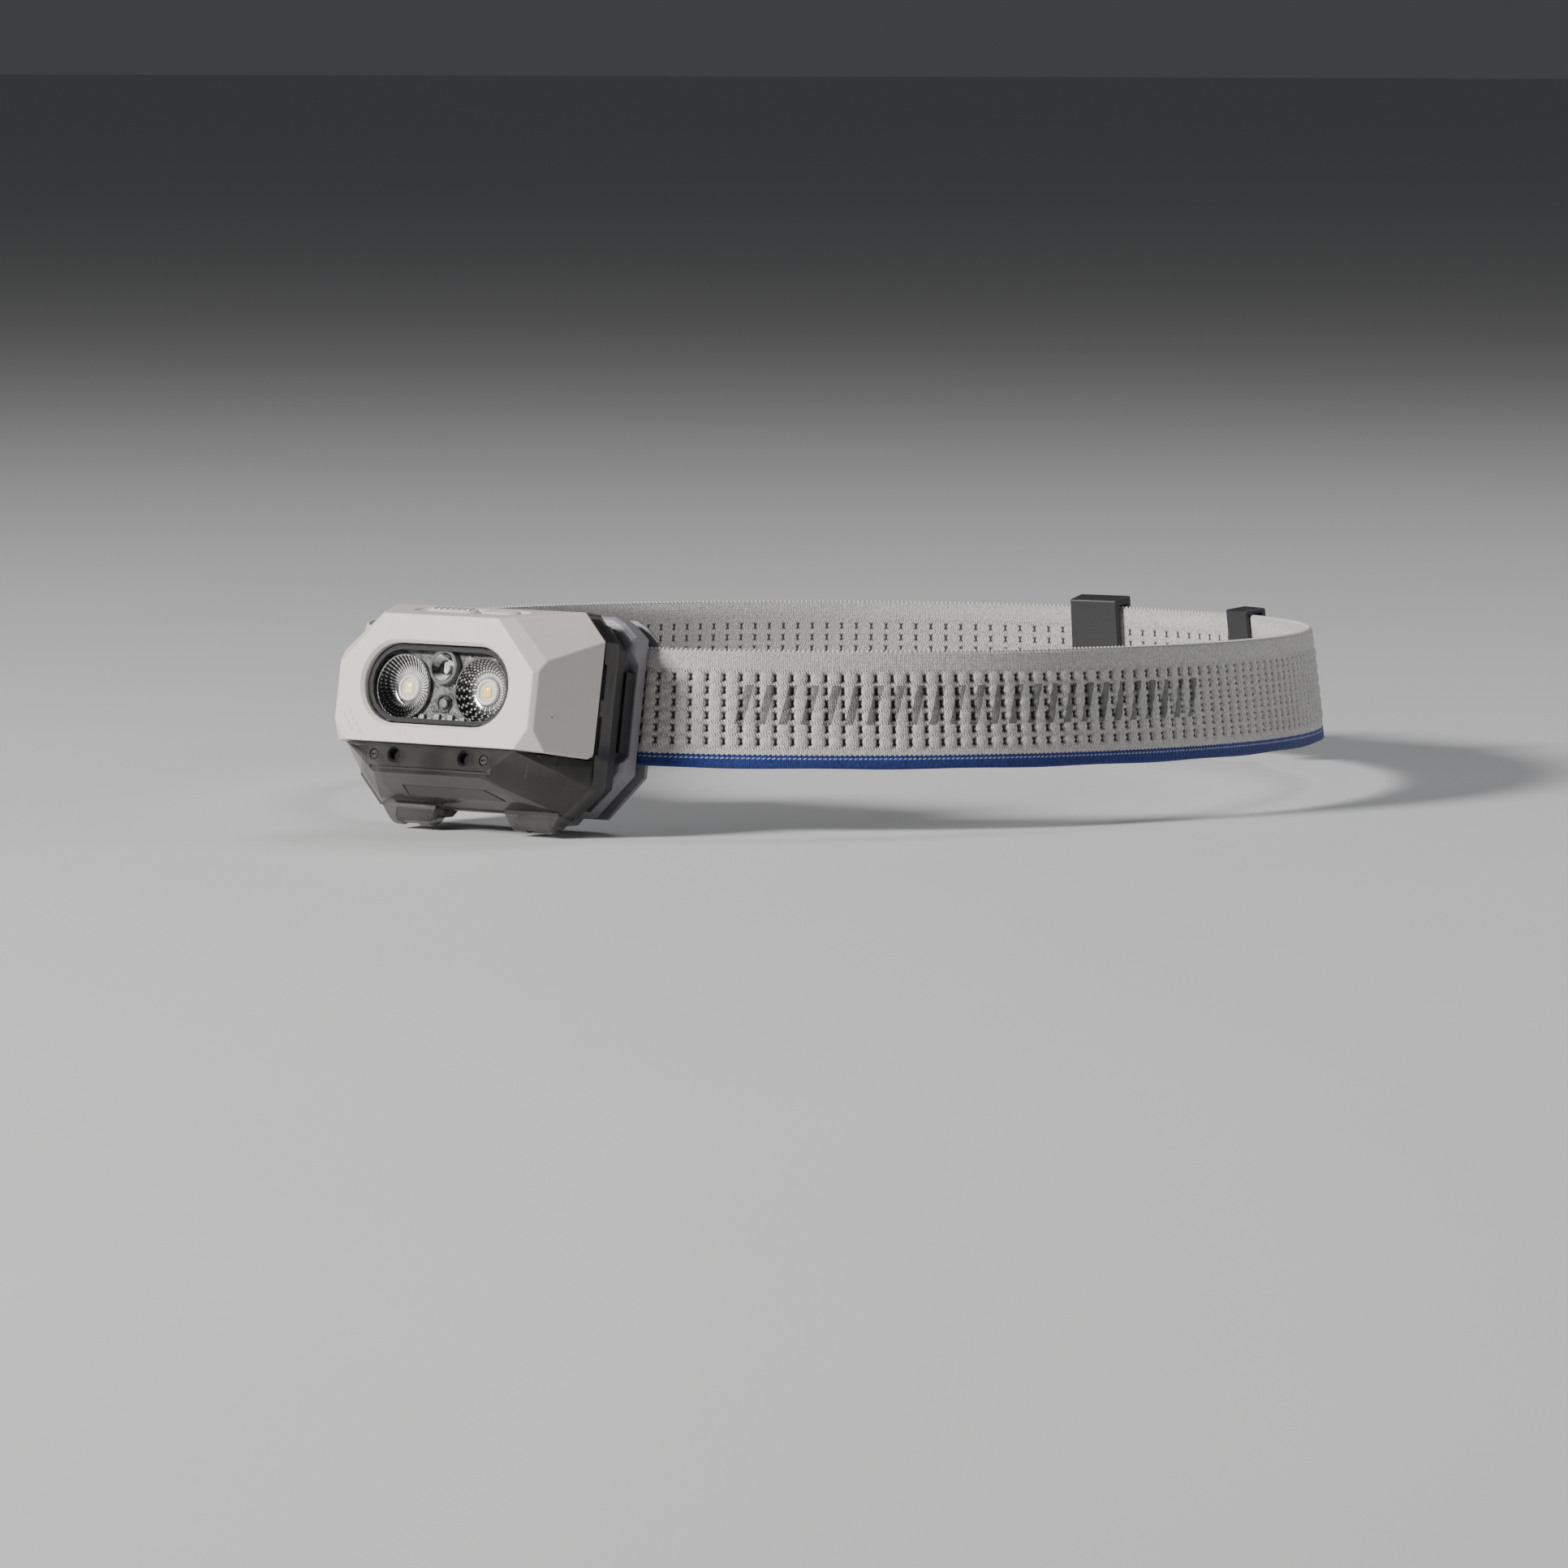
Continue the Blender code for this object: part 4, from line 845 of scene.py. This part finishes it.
def make_housing(m):
    """The smoked shell with rounded edges, its sensor windows, screws and blank label plate."""
    softened("housing", "housing_shell", m["smoke"], HEAD, "smoke", 0.3, 3, 28, cut_housing)
    make_liners(m)
    softened("label_plate", "label_blank", m["label"], HEAD, "dark", 0.08)
    for side, name in SIDES:
        # Painted shade: thin black strips set inside the side grooves darken them.
        shade_strips = bmesh.new()
        for low, high in GROOVES:
            box_into(shade_strips, sorted((side * 34.35, side * 34.6)), (19.6, 20.5), (low + 0.1, high - 0.1))
        piece(shade_strips, f"groove_shade_strip_{name}", m["hole_black"], HEAD)
        at = (side * 10.5, 0, -33.6)
        eye = bmesh.new()
        cup = [(0, 2.3), (1.35, 2.3), (1.4, 1.0), (1.55, 0.8), (1.75, 0.9), (1.8, 3.0), (0, 3.0)]
        spin_into(eye, cup, at, 40)
        piece(eye, f"sensor_eye_{name}", m["hole_black"], HEAD, (f"sensor_window_{name}",))
        softened(f"front_screw_{name}", f"front_screw_head_{name}", m["screw"], HEAD, "steel", 0.06, 2, 40)


def make_lamp_rest(m):
    """The rest of the head, and the bracket's screws: softened CAD shapes, and CAD nodes given a material."""
    softened("rear_cover", "rear_cover_shell", m["rear"], HEAD, "dark", 0.35, 3, 30)
    softened("body_gasket", "body_seal", m["rubber"], HEAD, "rubber", 0.1, 2)
    softened("port_flap", "port_flap_skin", m["rubber"], "port_flap", "rubber", 0.18, 3)
    for node, key in (
        ("window_lens", "pane"),
        ("lens_gasket", "rubber"),
        ("optic_carrier", "carrier"),
        ("led_centre", "ceramic"),
        ("led_board", "board"),
        ("driver_board", "board"),
        ("switch_board", "board"),
        ("heat_spreader", "aluminium"),
        ("battery_cell", "cell"),
        ("battery_contact", "steel"),
        ("battery_spring", "steel"),
        ("usb_port", "steel"),
        ("smooth_button_switch", "black_gloss"),
        ("ribbed_button_switch", "black_gloss"),
        ("hinge_pin_left", "steel"),
        ("hinge_pin_right", "steel"),
        ("friction_washer_left", "bright"),
        ("friction_washer_right", "bright"),
    ):
        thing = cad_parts[node]
        thing.data.materials.clear()
        thing.data.materials.append(m[key])
    for level in ("upper", "lower"):
        for _, name in SIDES:
            for holder, body in (("cover", HEAD), ("bracket", BRACKET_BODY)):
                node = f"{holder}_screw_{level}_{name}"
                softened(node, f"{node}_body", m["screw"], body, "steel", 0.08, 2, 40)


# ---- bracket ------------------------------------------------------------------------------------


def round_shoulder(bm):
    """Rounds the long outer edges at the front of the bracket's frame."""
    edges = []
    for edge in bm.edges:
        ends = [vert.co for vert in edge.verts]
        outer = all(abs(c.x) > 29.5 or c.z > 2.5 for c in ends) and all(c.y < 35 and c.z > -43 for c in ends)
        if outer and edge.is_manifold and edge.calc_length() > 2.5 and edge.calc_face_angle() > radians(20):
            edges.append(edge)
    bmesh.ops.bevel(
        bm, geom=edges, offset=1.0, offset_type="OFFSET", segments=4, profile=0.5, affect="EDGES",
        clamp_overlap=True,
    )


def make_bracket(m):
    """Frame, plate, spacers and pad, softened from the CAD shapes."""
    frame_shell = ("bracket_frame", "bracket_frame_shell", m["bracket"], BRACKET_BODY, "bracket")
    softened(*frame_shell, 0.35, 3, 30, round_shoulder)
    softened("bracket_plate", "bracket_plate_shell", m["bracket"], BRACKET_BODY, "bracket", 0.4, 3, 30)
    for level in ("upper", "lower"):
        node = f"bracket_spacer_{level}"
        softened(node, f"{node}_block", m["bracket"], BRACKET_BODY, "bracket", 0.3, 3)
    softened("cap_pad", "cap_pad_skin", m["rubber"], BRACKET_BODY, "rubber", 0.4, 4)


# ---- strap --------------------------------------------------------------------------------------


def strap_slot():
    return SLOT_Y * cos(LEAN) + SLOT_Z * sin(LEAN), SLOT_Z * cos(LEAN) - SLOT_Y * sin(LEAN)


def strap_frames(angles):
    """For each angle: the band's middle, its outward direction and its upward direction, as arrays."""
    front, middle = strap_slot()
    meet = STRAP_HALF_LENGTH * cos(asin(STRAP_FLAT / STRAP_HALF_WIDTH))

    def plan(a):
        beyond = meet - STRAP_HALF_LENGTH * np.cos(a)
        return STRAP_HALF_WIDTH * np.sin(a), front + (beyond + np.sqrt(beyond * beyond + 2.6)) / 2

    step = 0.002
    (x0, y0), (x1, y1), (x, y) = plan(angles - step), plan(angles + step), plan(angles)
    length = np.hypot(x1 - x0, y1 - y0)
    out = np.stack([(y1 - y0) / length, -(x1 - x0) / length, np.zeros_like(x)], 1)
    lean = STRAP_LEAN_SIDE + (LEAN - STRAP_LEAN_SIDE) * np.clip(np.cos(angles), 0, None) ** 4
    up = np.array([[0, 0, 1]])
    band = up * np.cos(lean)[:, None] - out * np.sin(lean)[:, None]
    face = out * np.cos(lean)[:, None] + up * np.sin(lean)[:, None]
    centre = np.stack([x, y, middle - STRAP_DROP * (y - front)], 1)
    return centre, face, band


def even_angles(start, end, step):
    """Angles at equal distances along the strap, and those distances from the first."""
    fine = np.linspace(start, end, 4000)
    centre, _, _ = strap_frames(fine)
    run = np.concatenate([[0], np.cumsum(np.linalg.norm(np.diff(centre, axis=0), axis=1))])
    count = int(round(run[-1] / step))
    distances = np.linspace(0, run[-1], count + 1)
    return np.interp(distances, run, fine), distances


def relief(u, v):
    """Height of the band's face in millimetres: pillows between the eyelets, and fine ribs elsewhere."""
    across = (EYELET_TOP - v) / ROW
    row = np.clip(np.round(across), 0, ROWS - 1)
    du = (u / COLUMN - np.round(u / COLUMN)) * COLUMN
    dv = v - (EYELET_TOP - row * ROW)
    waist = 0.34 + 0.42 * np.abs(dv)
    hole = np.clip(1.3 - np.maximum(np.abs(du) / waist, np.abs(dv) / 1.05) ** 3, 0, 1)
    inside = (across > -0.6) & (across < ROWS - 0.4)
    pillow = np.cos(pi * du / COLUMN) ** 2
    swell = np.abs(np.sin(pi * u / COLUMN)) ** 0.7 * np.abs(np.cos(pi * (across - row))) ** 0.6
    height = np.where(inside, 0.42 * swell - 0.05 * pillow - 0.75 * hole, 0.05)
    ribs = 0.07 * np.cos(2 * pi * u / 1.0125)
    return height + np.where(inside, 0.0, ribs)


def band_mesh(name, start, end, closed, out, material, phase=0.0, step=0.45):
    """The strap as a closed skin: a detailed outer face, a plain inner one and rounded edges."""
    angles, distances = even_angles(start, end, step)
    if closed:
        angles, distances = angles[:-1], distances[:-1]
        scale = COLUMN * round(distances[-1] / COLUMN) / (distances[-1] + step)
        distances = distances * scale
    centre, face, band = strap_frames(angles)
    tall = STRAP_TALL / 2
    middle_rows = np.linspace(-tall + 0.35, tall - 0.35, 56)
    outer = np.concatenate([[-tall, -tall + 0.1], middle_rows, [tall - 0.1, tall]])
    inner = np.linspace(tall - 0.1, -tall + 0.1, 9)
    half = STRAP_THICK / 2
    u = distances[:, None] + phase
    height = relief(u, outer[None, :])
    edge = np.clip((tall - np.abs(outer)) / 0.35, 0, 1) ** 0.5
    lift = out + (half - 0.12) * edge[None, :] + height * edge[None, :]
    lift_in = np.broadcast_to(np.full(len(inner), out - half)[None, :], (len(angles), len(inner)))
    wave = 0.1 * np.cos(2 * pi * (u - phase) / 37.0)
    rises = (np.broadcast_to(outer[None, :], height.shape), np.broadcast_to(inner[None, :], lift_in.shape))
    rise = np.concatenate(rises, 1)
    rise = rise + wave * (rise < 0)
    lift = np.concatenate([lift, lift_in], 1)
    points = centre[:, None, :] + face[:, None, :] * lift[..., None] + band[:, None, :] * rise[..., None]
    n, k = lift.shape
    mesh = bpy.data.meshes.new(name)
    index = np.arange(n * k).reshape(n, k)
    nxt = np.roll(index, -1, 0) if closed else index[1:]
    cur = index if closed else index[:-1]
    quads = np.stack([cur, np.roll(cur, -1, 1), np.roll(nxt, -1, 1), nxt], -1).reshape(-1, 4)
    faces = quads.tolist()
    if not closed:
        faces += [index[0][::-1].tolist(), index[-1].tolist()]
    mesh.from_pydata(points.reshape(-1, 3).tolist(), [], faces)
    mesh.transform(TO_WORLD)
    faced = mesh.attributes.new("outer", "FLOAT", "POINT")
    whole = np.concatenate([np.ones(height.shape), np.zeros(lift_in.shape)], 1).astype(np.float32)
    faced.data.foreach_set("value", whole.ravel())
    layer = mesh.uv_layers.new(name="band")
    loops = np.zeros(len(mesh.loops), np.int32)
    mesh.loops.foreach_get("vertex_index", loops)
    us, vs = np.broadcast_to(u, lift.shape).ravel() / 1000, rise.ravel() / 100
    uv = np.stack([us[loops], vs[loops]], 1).astype(np.float32)
    if closed:
        wrap = uv.reshape(-1, 4, 2)
        low = wrap[:, :, 0].min(1) < 0.002
        high = wrap[:, :, 0].max(1) > us.max() - 0.002
        seam = low & high
        along = wrap[seam, :, 0]
        wrap[seam, :, 0] = np.where(along < 0.1, along + us.max() + step / 1000, along)
        uv = wrap.reshape(-1, 2)
    layer.data.foreach_set("uv", uv.ravel())
    mesh.materials.append(material)
    bm = bmesh.new()
    bm.from_mesh(mesh)
    bmesh.ops.recalc_face_normals(bm, faces=bm.faces)
    bm.to_mesh(mesh)
    bm.free()
    mesh.shade_smooth()
    made = bpy.data.objects.new(name, mesh)
    bpy.context.scene.collection.objects.link(made)
    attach(made, BRACKET_BODY)
    return made, distances[-1] + step


def make_picots(material):
    """The scalloped top edge: a slanting knot of yarn every 1.2 mm."""
    angles, _ = even_angles(0, 2 * pi, PICOT_STEP)
    angles = angles[:-1]
    centre, face, band = strap_frames(angles)
    along = np.roll(centre, -1, 0) - np.roll(centre, 1, 0)
    along /= np.linalg.norm(along, axis=1)[:, None]
    knot = bmesh.new()
    bmesh.ops.create_uvsphere(knot, u_segments=8, v_segments=6, radius=1.0)
    round_points = np.array([vert.co for vert in knot.verts])
    corners = [[v.index for v in f.verts] for f in knot.faces]
    faces = np.array([c + c[-1:] * (4 - len(c)) for c in corners])
    knot.free()
    lean = radians(24)
    across = along * cos(lean) - band * sin(lean)
    upright = band * cos(lean) + along * sin(lean)
    middle = centre + band * (STRAP_TALL / 2 - 0.1)
    axes = np.stack([across * 0.42, face * 0.5, upright * 0.72], 1)
    points = middle[:, None, :] + round_points @ axes
    quads = (faces[None] + np.arange(len(angles))[:, None, None] * len(round_points)).reshape(-1, 4)
    mesh = bpy.data.meshes.new("knots")
    mesh.from_pydata(points.reshape(-1, 3).tolist(), [], [list(dict.fromkeys(q)) for q in quads.tolist()])
    bm = bmesh.new()
    bm.from_mesh(mesh)
    bpy.data.meshes.remove(mesh)
    return piece(bm, "strap_picots", material, BRACKET_BODY, (), TO_WORLD, 80)


def make_strap(m):
    """The elastic loop, its doubled-back tail, and the two plastic loops on it."""
    loop, length = band_mesh("strap_webbing", 0, 2 * pi, True, 0.0, m["webbing"])
    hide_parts("elastic_strap")
    picots = make_picots(m["picot"])
    ends, out = (TAIL_FROM, TAIL_TO), STRAP_THICK + GAP
    tail, run = band_mesh("strap_tail_webbing", *ends, False, out, m["webbing"], phase=TAIL_PHASE)
    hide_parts("strap_tail")
    softened("strap_keeper", "strap_keeper_loop", m["loop"], BRACKET_BODY, "dark", 0.45, 4, 40)
    softened("strap_adjuster", "strap_adjuster_slide", m["loop"], "strap_adjuster", "dark", 0.6, 4, 40)


# ---- stage --------------------------------------------------------------------------------------


def make_camera():
    """Looks from the front left of the wearer, a little above, with a long lens."""
    azimuth, elevation, distance = VIEW_AZIMUTH, VIEW_ELEVATION, VIEW_DISTANCE
    right = Vector((cos(azimuth), sin(azimuth), 0))
    up = Vector((-sin(azimuth) * sin(elevation), cos(azimuth) * sin(elevation), cos(elevation)))
    ahead = Vector((-sin(azimuth) * cos(elevation), cos(azimuth) * cos(elevation), -sin(elevation)))
    lamp_right, lamp_up = -81.15, 40.0  # where the lamp's origin stands in the view
    place = TO_WORLD @ (-right * lamp_right - up * lamp_up - ahead * distance)
    data = bpy.data.cameras.new("camera")
    data.lens, data.sensor_width = 193.8, 36.0
    data.clip_end = 120
    camera = bpy.data.objects.new("camera", data)
    camera.matrix_world = Matrix.Translation(place) @ Matrix((right, up, -ahead)).transposed().to_4x4()
    bpy.context.scene.collection.objects.link(camera)
    bpy.context.scene.camera = camera


def light(name, location, size, power, colour, target):
    """A round soft light aimed at a point."""
    data = bpy.data.lights.new(name, "AREA")
    data.shape = "DISK"
    data.size, data.energy, data.color = size, power, colour
    made = bpy.data.objects.new(name, data)
    made.location = location
    made.rotation_euler = (Vector(target) - Vector(location)).to_track_quat("-Z", "Y").to_euler()
    bpy.context.scene.collection.objects.link(made)


def make_stage():
    """A pale floor, a soft key from the front, two weaker lights and a plain world."""
    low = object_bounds()[0][2] - FLOOR_CLEARANCE
    bm = bmesh.new()
    corners = ((-1, -1), (1, -1), (1, 1), (-1, 1))
    bm.faces.new([bm.verts.new((x * FLOOR_HALF, y * FLOOR_HALF, low)) for x, y in corners])
    s = Shader("pale_floor")
    tone = s.mix(s.noise(3, 2), rgba(0.7, 0.7, 0.7), rgba(0.73, 0.73, 0.735))
    material = s.set(Base_Color=tone, Roughness=s.ramp(s.noise(6), 0.6, 0.7))
    floor = piece(bm, "floor", material, None, (), Matrix.Identity(4))
    for name, settings in LIGHTS.items():
        light(name, *settings)
    world = bpy.data.worlds.new("studio")
    world.use_nodes = True
    world.node_tree.nodes["Background"].inputs[0].default_value = (0.8, 0.82, 0.85, 1)
    world.node_tree.nodes["Background"].inputs[1].default_value = 0.07
    bpy.context.scene.world = world


def make_materials():
    return {
        "bezel": moulded("warm_grey_polycarbonate", (0.68, 0.635, 0.59), 0.48, spread=0.03, specks=0.2),
        "smoke": smoked(),
        "pane": clear_pane(),
        "optic": lens_glass(),
        "mirror": fluted_chrome(),
        "frosted": moulded("frosted_clear_ring", (0.2, 0.206, 0.202), 0.12, grain=0.00002, coat=1.0),
        "glowing_grey": striped_glow("grey_phosphor_border", (0.3, 0.3, 0.28), (0.9, 0.89, 0.84)),
        "hole_black": moulded("hole_black", (0.004, 0.004, 0.004), 0.85),
        "bright": metal("bright_steel", (0.8, 0.8, 0.8), 0.16),
        "steel": metal("bright_spring_steel", (0.62, 0.62, 0.63), 0.26, 0.2),
        "screw": moulded("blackened_screw", (0.022, 0.022, 0.023), 0.66),
        "aluminium": metal("milled_aluminium", (0.7, 0.71, 0.72), 0.35, 0.3),
        "solder": metal("tinned_parts", (0.42, 0.425, 0.4), 0.3),
        "ceramic": moulded("white_ceramic", (0.8, 0.8, 0.76), 0.35),
        "phosphor_left": striped_glow("amber_phosphor", (1.0, 0.5, 0.03), (1.0, 0.78, 0.3)),
        "phosphor_right": striped_glow("pale_phosphor", (0.92, 0.74, 0.14), (1.0, 0.95, 0.6)),
        "carrier": cloudy_carrier(),
        "board": circuit_board(),
        "cell": moulded("cell_wrap", (0.02, 0.022, 0.03), 0.3, coat=0.5),
        "liner": moulded("grey_liner", (0.125, 0.124, 0.118), 0.5, spread=0.3),
        "label": moulded("blank_label", (0.06, 0.059, 0.05), 0.4),
        "black_gloss": moulded("black_gloss", (0.008, 0.008, 0.009), 0.12, grain=0.00001, coat=1.0),
        "rear": moulded("black_polycarbonate", (0.018, 0.018, 0.021), 0.36),
        "rubber": rubber("silicone_rubber", 0.018),
        "bracket": moulded("lilac_grey_polycarbonate", (0.275, 0.265, 0.285), 0.4, spread=0.04),
        "loop": moulded("black_acetal", (0.03, 0.03, 0.032), 0.42),
        "webbing": webbing(),
        "picot": moulded("picot_yarn", (0.55, 0.55, 0.53), 0.85, grain=0.0002),
    }


def main():
    m = make_materials()
    make_bezel(m["bezel"])
    make_face_marks(m["bezel"])
    make_window_skirt(m["hole_black"])
    make_buttons(m["bezel"])
    make_reflectors(m["mirror"])
    make_leds(m)
    make_centre_lens(m)
    make_inside(m)
    make_housing(m)
    make_lamp_rest(m)
    make_bracket(m)
    make_strap(m)
    make_stage()
    make_camera()


main()
